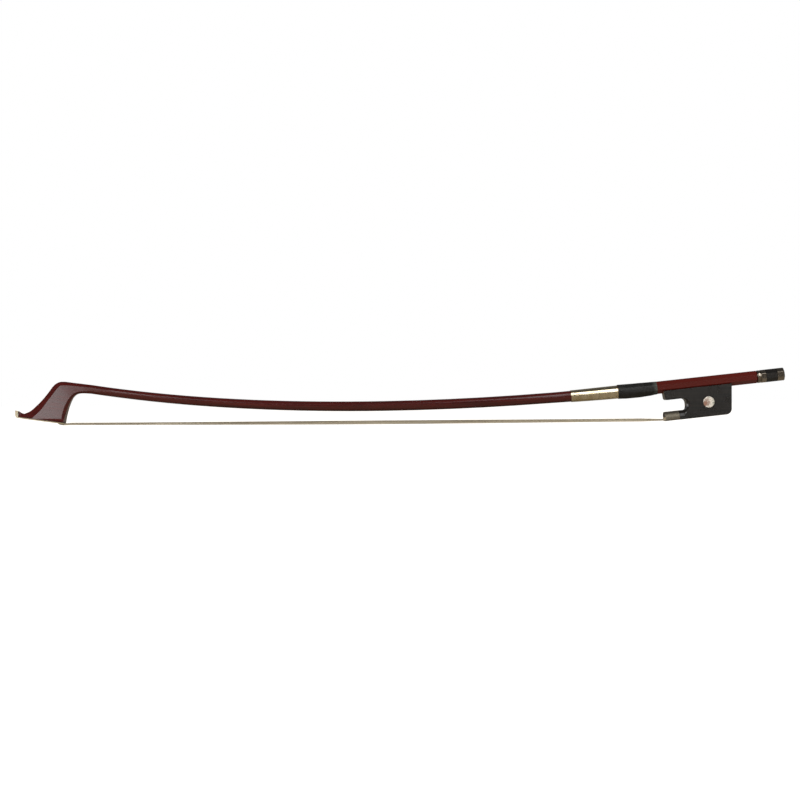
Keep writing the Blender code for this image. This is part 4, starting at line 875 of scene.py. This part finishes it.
windingGuide = pathMesh("windingGuide", *windingPath())
windingMesh = runTree(windingGuide, wireTree(), {
    "Wire width": windingSizes["wireWidth"], "Wire thickness": windingSizes["wireThickness"],
    "Edge radius": windingSizes["edgeRadius"], "Edge steps": windingSizes["edgeSteps"],
    "Material": wireSilver,
})
bpy.data.objects.remove(windingGuide)
windingMesh.shade_smooth()
windingMesh.set_sharp_from_angle(angle=windingSizes["crispAngle"])
windingPiece = newObject("windingWire", windingMesh, wireSilver)
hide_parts("winding")
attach(windingPiece, "stick")
print("winding made,", len(windingMesh.polygons), "faces")


# leather grip

gripSizes = {
    "front": 0.1296,
    "rear": 0.0934,
    "rings": 40,
    "sides": 64,
    "clearance": 0.0001,
    # thickness over and under the stick, from the front end (0) to the skived rear end (1)
    "over": [(0.0, 0.00080), (0.5, 0.00050), (0.9, 0.00022), (1.0, 0.00012)],
    "under": [(0.0, 0.00070), (0.25, 0.00120), (0.55, 0.00125), (0.78, 0.00085), (1.0, 0.00012)],
    "rounding": 0.00008,  # taken off the thickness at both ends
    "roundedEnds": (0.0, 0.006, 0.02),  # where the rounding's rings stand, and mirrored at the rear
    "leastCorners": 0.35,  # how much of the octagon shows at the front end
    "moreCorners": 0.6,  # and how much more at the rear
    "crispAngle": math.radians(50),
}


def gripPoint(share, degrees, onWood):
    distance = gripSizes["front"] + (gripSizes["rear"] - gripSizes["front"]) * share
    if onWood:
        return ringPoint(distance, degrees, gripSizes["clearance"])
    over = throughTable(gripSizes["over"], share)
    under = throughTable(gripSizes["under"], share)
    height = 0.5 + 0.5 * math.sin(math.radians(degrees))
    thickness = under + (over - under) * ease(height)
    if share in (0.0, 1.0):
        thickness -= gripSizes["rounding"]
    corners = gripSizes["leastCorners"] + gripSizes["moreCorners"] * ease(share)
    square = min(squareness(distance), corners)
    return ringPoint(distance, degrees, gripSizes["clearance"] + thickness, square)


def buildGrip():
    work = bmesh.new()
    end, rounded, inner = gripSizes["roundedEnds"]
    rings = gripSizes["rings"]
    shares = [end, rounded] + [inner + (1 - 2 * inner) * i / rings for i in range(rings + 1)]
    shares += [1 - rounded, 1 - end]
    angles = [360 * i / gripSizes["sides"] for i in range(gripSizes["sides"])]
    loops = [[work.verts.new(gripPoint(s, a, False)) for a in angles] for s in shares]
    loops += [[work.verts.new(gripPoint(s, a, True)) for a in angles] for s in reversed(shares)]
    for first, second in zip(loops, loops[1:] + loops[:1]):
        for i in range(len(angles)):
            j = (i + 1) % len(angles)
            work.faces.new((first[i], first[j], second[j], second[i]))
    bmesh.ops.recalc_face_normals(work, faces=work.faces)
    mesh = bpy.data.meshes.new("gripLeather")
    work.to_mesh(mesh)
    work.free()
    shareLayer = mesh.attributes.new("alongGrip", "FLOAT", "POINT")
    values = [s for s in shares for _ in angles] + [s for s in reversed(shares) for _ in angles]
    shareLayer.data.foreach_set("value", values)
    mesh.shade_smooth()
    mesh.set_sharp_from_angle(angle=gripSizes["crispAngle"])
    return mesh


gripPiece = newObject("gripLeather", buildGrip(), leather)
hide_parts("thumb_leather")
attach(gripPiece, "stick")
print("leather made")


# hair

hairSizes = {
    "strands": 320,
    "strandDiameter": 0.00024,
    "frontWidth": 0.0101,
    "rearWidth": 0.0113,
    "frontThickness": 0.00195,
    "rearThickness": 0.0026,
    "gatheredShare": 0.022,  # part of the length over which the bundle opens from the mortise
    "gatheredThickness": 0.45,
    "gatheredWidth": 0.82,
    "middleSwell": 0.40,
    "wander": 0.0005,
    "sag": 0.0005,
    "points": 26,
    "seed": 11,
    # (ahead of the plate's rear edge, height): out of the mortise and down under the plate
    "mortiseBend": ((0.0063, 0.0034), (0.0058, 0.0022), (0.0048, 0.0013), (0.0026, 0.0008),
                    (0.0, 0.00055)),
    "freeStart": 0.006,  # behind the plate's rear edge
    "frontHeight": 0.00095,
    "rearHeight": 0.00125,
    "ferruleInset": 0.0002,
    "coreShare": 0.42,  # the core's half thickness, as a share of the bundle's whole one
    "coreInset": 0.0004,  # from the bundle's sides
    # the frog's pull on the hair goes from nothing to all between these, from the ribbon's ends
    "pullStart": 0.01,
    "pullEnd": 0.002,
    "pullHeight": 0.001,
}
hairLow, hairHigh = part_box("hair_ribbon")
_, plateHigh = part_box("tip_plate")


def hairPath():
    # middle of the bundle: out of the head's mortise, under the plate, to the ferrule's mouth
    edge = plateHigh.x
    points = [(edge - ahead, 0.0, z) for ahead, z in hairSizes["mortiseBend"]]
    start = edge + hairSizes["freeStart"]
    end = hairHigh.x + hairSizes["ferruleInset"]
    low = hairSizes["frontHeight"]
    high = hairSizes["rearHeight"]
    for i in range(hairSizes["points"] + 1):
        share = i / hairSizes["points"]
        sag = hairSizes["sag"] * math.sin(math.pi * share)
        points.append((start + (end - start) * share, 0.0, low + (high - low) * share - sag))
    return points


def gathered(share):
    # how far the bundle has opened, from 0 in the mortise to 1 in the free span
    return ease(share / hairSizes["gatheredShare"])


hairGuide = guideCurve("hairGuide", hairPath())
hairMesh = runTree(hairGuide, strandTree(), {
    "Strands": hairSizes["strands"],
    "Front width": hairSizes["frontWidth"], "Rear width": hairSizes["rearWidth"],
    "Front thickness": hairSizes["frontThickness"], "Rear thickness": hairSizes["rearThickness"],
    "Gathered share": hairSizes["gatheredShare"],
    "Gathered thickness": hairSizes["gatheredThickness"],
    "Gathered width": hairSizes["gatheredWidth"], "Middle swell": hairSizes["middleSwell"],
    "Strand diameter": hairSizes["strandDiameter"], "Wander": hairSizes["wander"],
    "Seed": hairSizes["seed"], "Material": hairStuff,
})
bpy.data.objects.remove(hairGuide)
hairMesh.shade_smooth()


def hairCore():
    # the bundle's inside, so that no light shows between the hairs; it wears the hair copy darkened
    # with painted shade
    work = bmesh.new()
    rings = []
    path = hairPath()
    for x, y, z in path:
        share = (x - path[0][0]) / (path[-1][0] - path[0][0])
        half = hairSizes["frontWidth"] + (hairSizes["rearWidth"] - hairSizes["frontWidth"]) * share
        thick = hairSizes["frontThickness"]
        thick += (hairSizes["rearThickness"] - thick) * share
        low = hairSizes["gatheredWidth"]
        half *= (low + (1 - low) * gathered(share)) / 2
        low = hairSizes["gatheredThickness"]
        thick *= hairSizes["coreShare"] * (low + (1 - low) * gathered(min(share, 1 - share)))
        thick *= 1 + hairSizes["middleSwell"] * (4 * share * (1 - share)) ** 3
        half -= hairSizes["coreInset"]
        section = ((half, thick), (-half, thick), (-half, -thick), (half, -thick))
        rings.append([work.verts.new((x, y + a, z + b)) for a, b in section])
    for first, second in zip(rings, rings[1:]):
        for i in range(4):
            j = (i + 1) % 4
            work.faces.new((first[i], first[j], second[j], second[i]))
    work.faces.new(rings[0])
    work.faces.new(rings[-1][::-1])
    bmesh.ops.recalc_face_normals(work, faces=work.faces)
    mesh = bpy.data.meshes.new("hairCore")
    work.to_mesh(mesh)
    work.free()
    return mesh


hairPiece = newObject("hairStrands", hairMesh, hairStuff)
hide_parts("hair_ribbon")
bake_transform(hairPiece)
corePiece = newObject("hairCore", hairCore(), innerHairPaintedShade)
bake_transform(corePiece)
print("hair made,", len(hairMesh.polygons), "faces")


# studio

studio = {
    "distance": 1.343,  # camera to the bow's middle plane, in metres
    "aside": 0.0003,
    "height": 0.0212,
    "frameWidth": 0.744,
    "roll": math.radians(0.376),
    "floorLevel": -0.0016,
    "floorHalf": 6.0,
    "floorColour": "#b4aa9a",
    "floorGlow": 0.93,
    "ambient": 0.36,
    "reflectedFront": 0.10,
    "reflectedBack": 0.30,  # on the right, and the left goes a quarter of the way to it
}


def makeCamera():
    data = bpy.data.cameras.new("camera")
    data.sensor_width = 36.0
    data.lens = data.sensor_width * studio["distance"] / studio["frameWidth"]
    data.clip_start = 0.01
    data.clip_end = 50.0
    item = bpy.data.objects.new("camera", data)
    scene.collection.objects.link(item)
    looking = Matrix.Rotation(studio["roll"], 4, "Y") @ Matrix.Rotation(math.radians(90), 4, "X")
    place = (studio["aside"], -studio["distance"], studio["height"])
    item.matrix_world = Matrix.Translation(place) @ looking
    scene.camera = item


def makeFloor():
    # pale and warm; the glow that only the camera sees lifts it to white, and the shadow stays
    material, tree, shader = startMaterial(
        "floorPale", {"Roughness": 0.9, "Specular IOR Level": 0.0}
    )
    shader.inputs["Base Color"].default_value = linear(studio["floorColour"])
    seen = addNode(tree, "ShaderNodeLightPath").outputs["Is Camera Ray"]
    strength = addNode(
        tree, "ShaderNodeMath", {"operation": "MULTIPLY", 0: seen, 1: studio["floorGlow"]}
    ).outputs[0]
    glow = addNode(tree, "ShaderNodeEmission", {"Color": (1, 1, 1, 1), "Strength": strength})
    both = addNode(
        tree, "ShaderNodeAddShader", {0: shader.outputs["BSDF"], 1: glow.outputs["Emission"]}
    )
    tree.links.new(both.outputs[0], tree.nodes["Material Output"].inputs["Surface"])
    half = studio["floorHalf"]
    mesh = bpy.data.meshes.new("floor")
    level = studio["floorLevel"]
    mesh.from_pydata(
        [(-half, -half, level), (half, -half, level), (half, half, level), (-half, half, level)],
        [], [(0, 1, 2, 3)],
    )
    newObject("floor", mesh, material)


def makeWorld():
    # white to the camera, a soft ambient on surfaces, and a dim room in reflections
    world = bpy.data.worlds.new("studioWorld")
    scene.world = world
    world.use_nodes = True
    tree = world.node_tree
    background = tree.nodes["Background"]
    direction = addNode(tree, "ShaderNodeTexCoord").outputs["Generated"]
    axes = addNode(tree, "ShaderNodeSeparateXYZ", {"Vector": direction}).outputs
    behind = addNode(tree, "ShaderNodeMapRange", {
        "Value": axes["Y"], "From Min": 0.3, "From Max": 0.9,
    }).outputs["Result"]
    onRight = addNode(tree, "ShaderNodeMapRange", {
        "Value": axes["X"], "From Min": -0.3, "From Max": 0.2, "To Min": 0.25,
    }).outputs["Result"]
    wall = addNode(tree, "ShaderNodeMath", {"operation": "MULTIPLY", 0: behind, 1: onRight}).outputs[0]
    reflected = addNode(tree, "ShaderNodeMapRange", {
        "Value": wall, "To Min": studio["reflectedFront"], "To Max": studio["reflectedBack"],
    }).outputs["Result"]
    path = addNode(tree, "ShaderNodeLightPath").outputs
    unseen = addNode(tree, "ShaderNodeMix", {
        "data_type": "FLOAT", "Factor": path["Is Glossy Ray"], "A": studio["ambient"], "B": reflected,
    }).outputs[0]
    strength = addNode(tree, "ShaderNodeMix", {
        "data_type": "FLOAT", "Factor": path["Is Camera Ray"], "A": unseen, "B": 1.0,
    }).outputs[0]
    background.inputs["Color"].default_value = (1.0, 1.0, 1.0, 1.0)
    tree.links.new(strength, background.inputs["Strength"])


lamps = {
    # name: (degrees to the camera's left, degrees up, distance, width, height, power)
    "leftBox": (40, 22, 1.7, 1.15, 1.5, 26.0),
    "rightBox": (-21, 36, 1.7, 0.5, 1.6, 9.5),
}


def makeLamps():
    for name, (aside, up, distance, width, height, power) in lamps.items():
        data = bpy.data.lights.new(name, "AREA")
        data.shape = "RECTANGLE"
        data.size = width
        data.size_y = height
        data.energy = power
        item = bpy.data.objects.new(name, data)
        scene.collection.objects.link(item)
        flat = math.cos(math.radians(up)) * distance
        item.location = (
            -math.sin(math.radians(aside)) * flat,
            -math.cos(math.radians(aside)) * flat,
            math.sin(math.radians(up)) * distance,
        )
        item.rotation_euler = (-Vector(item.location)).to_track_quat("-Z", "Y").to_euler()
        item.visible_camera = False


makeCamera()
makeFloor()
makeWorld()
makeLamps()
scene.view_settings.view_transform = "Standard"
print("studio made")
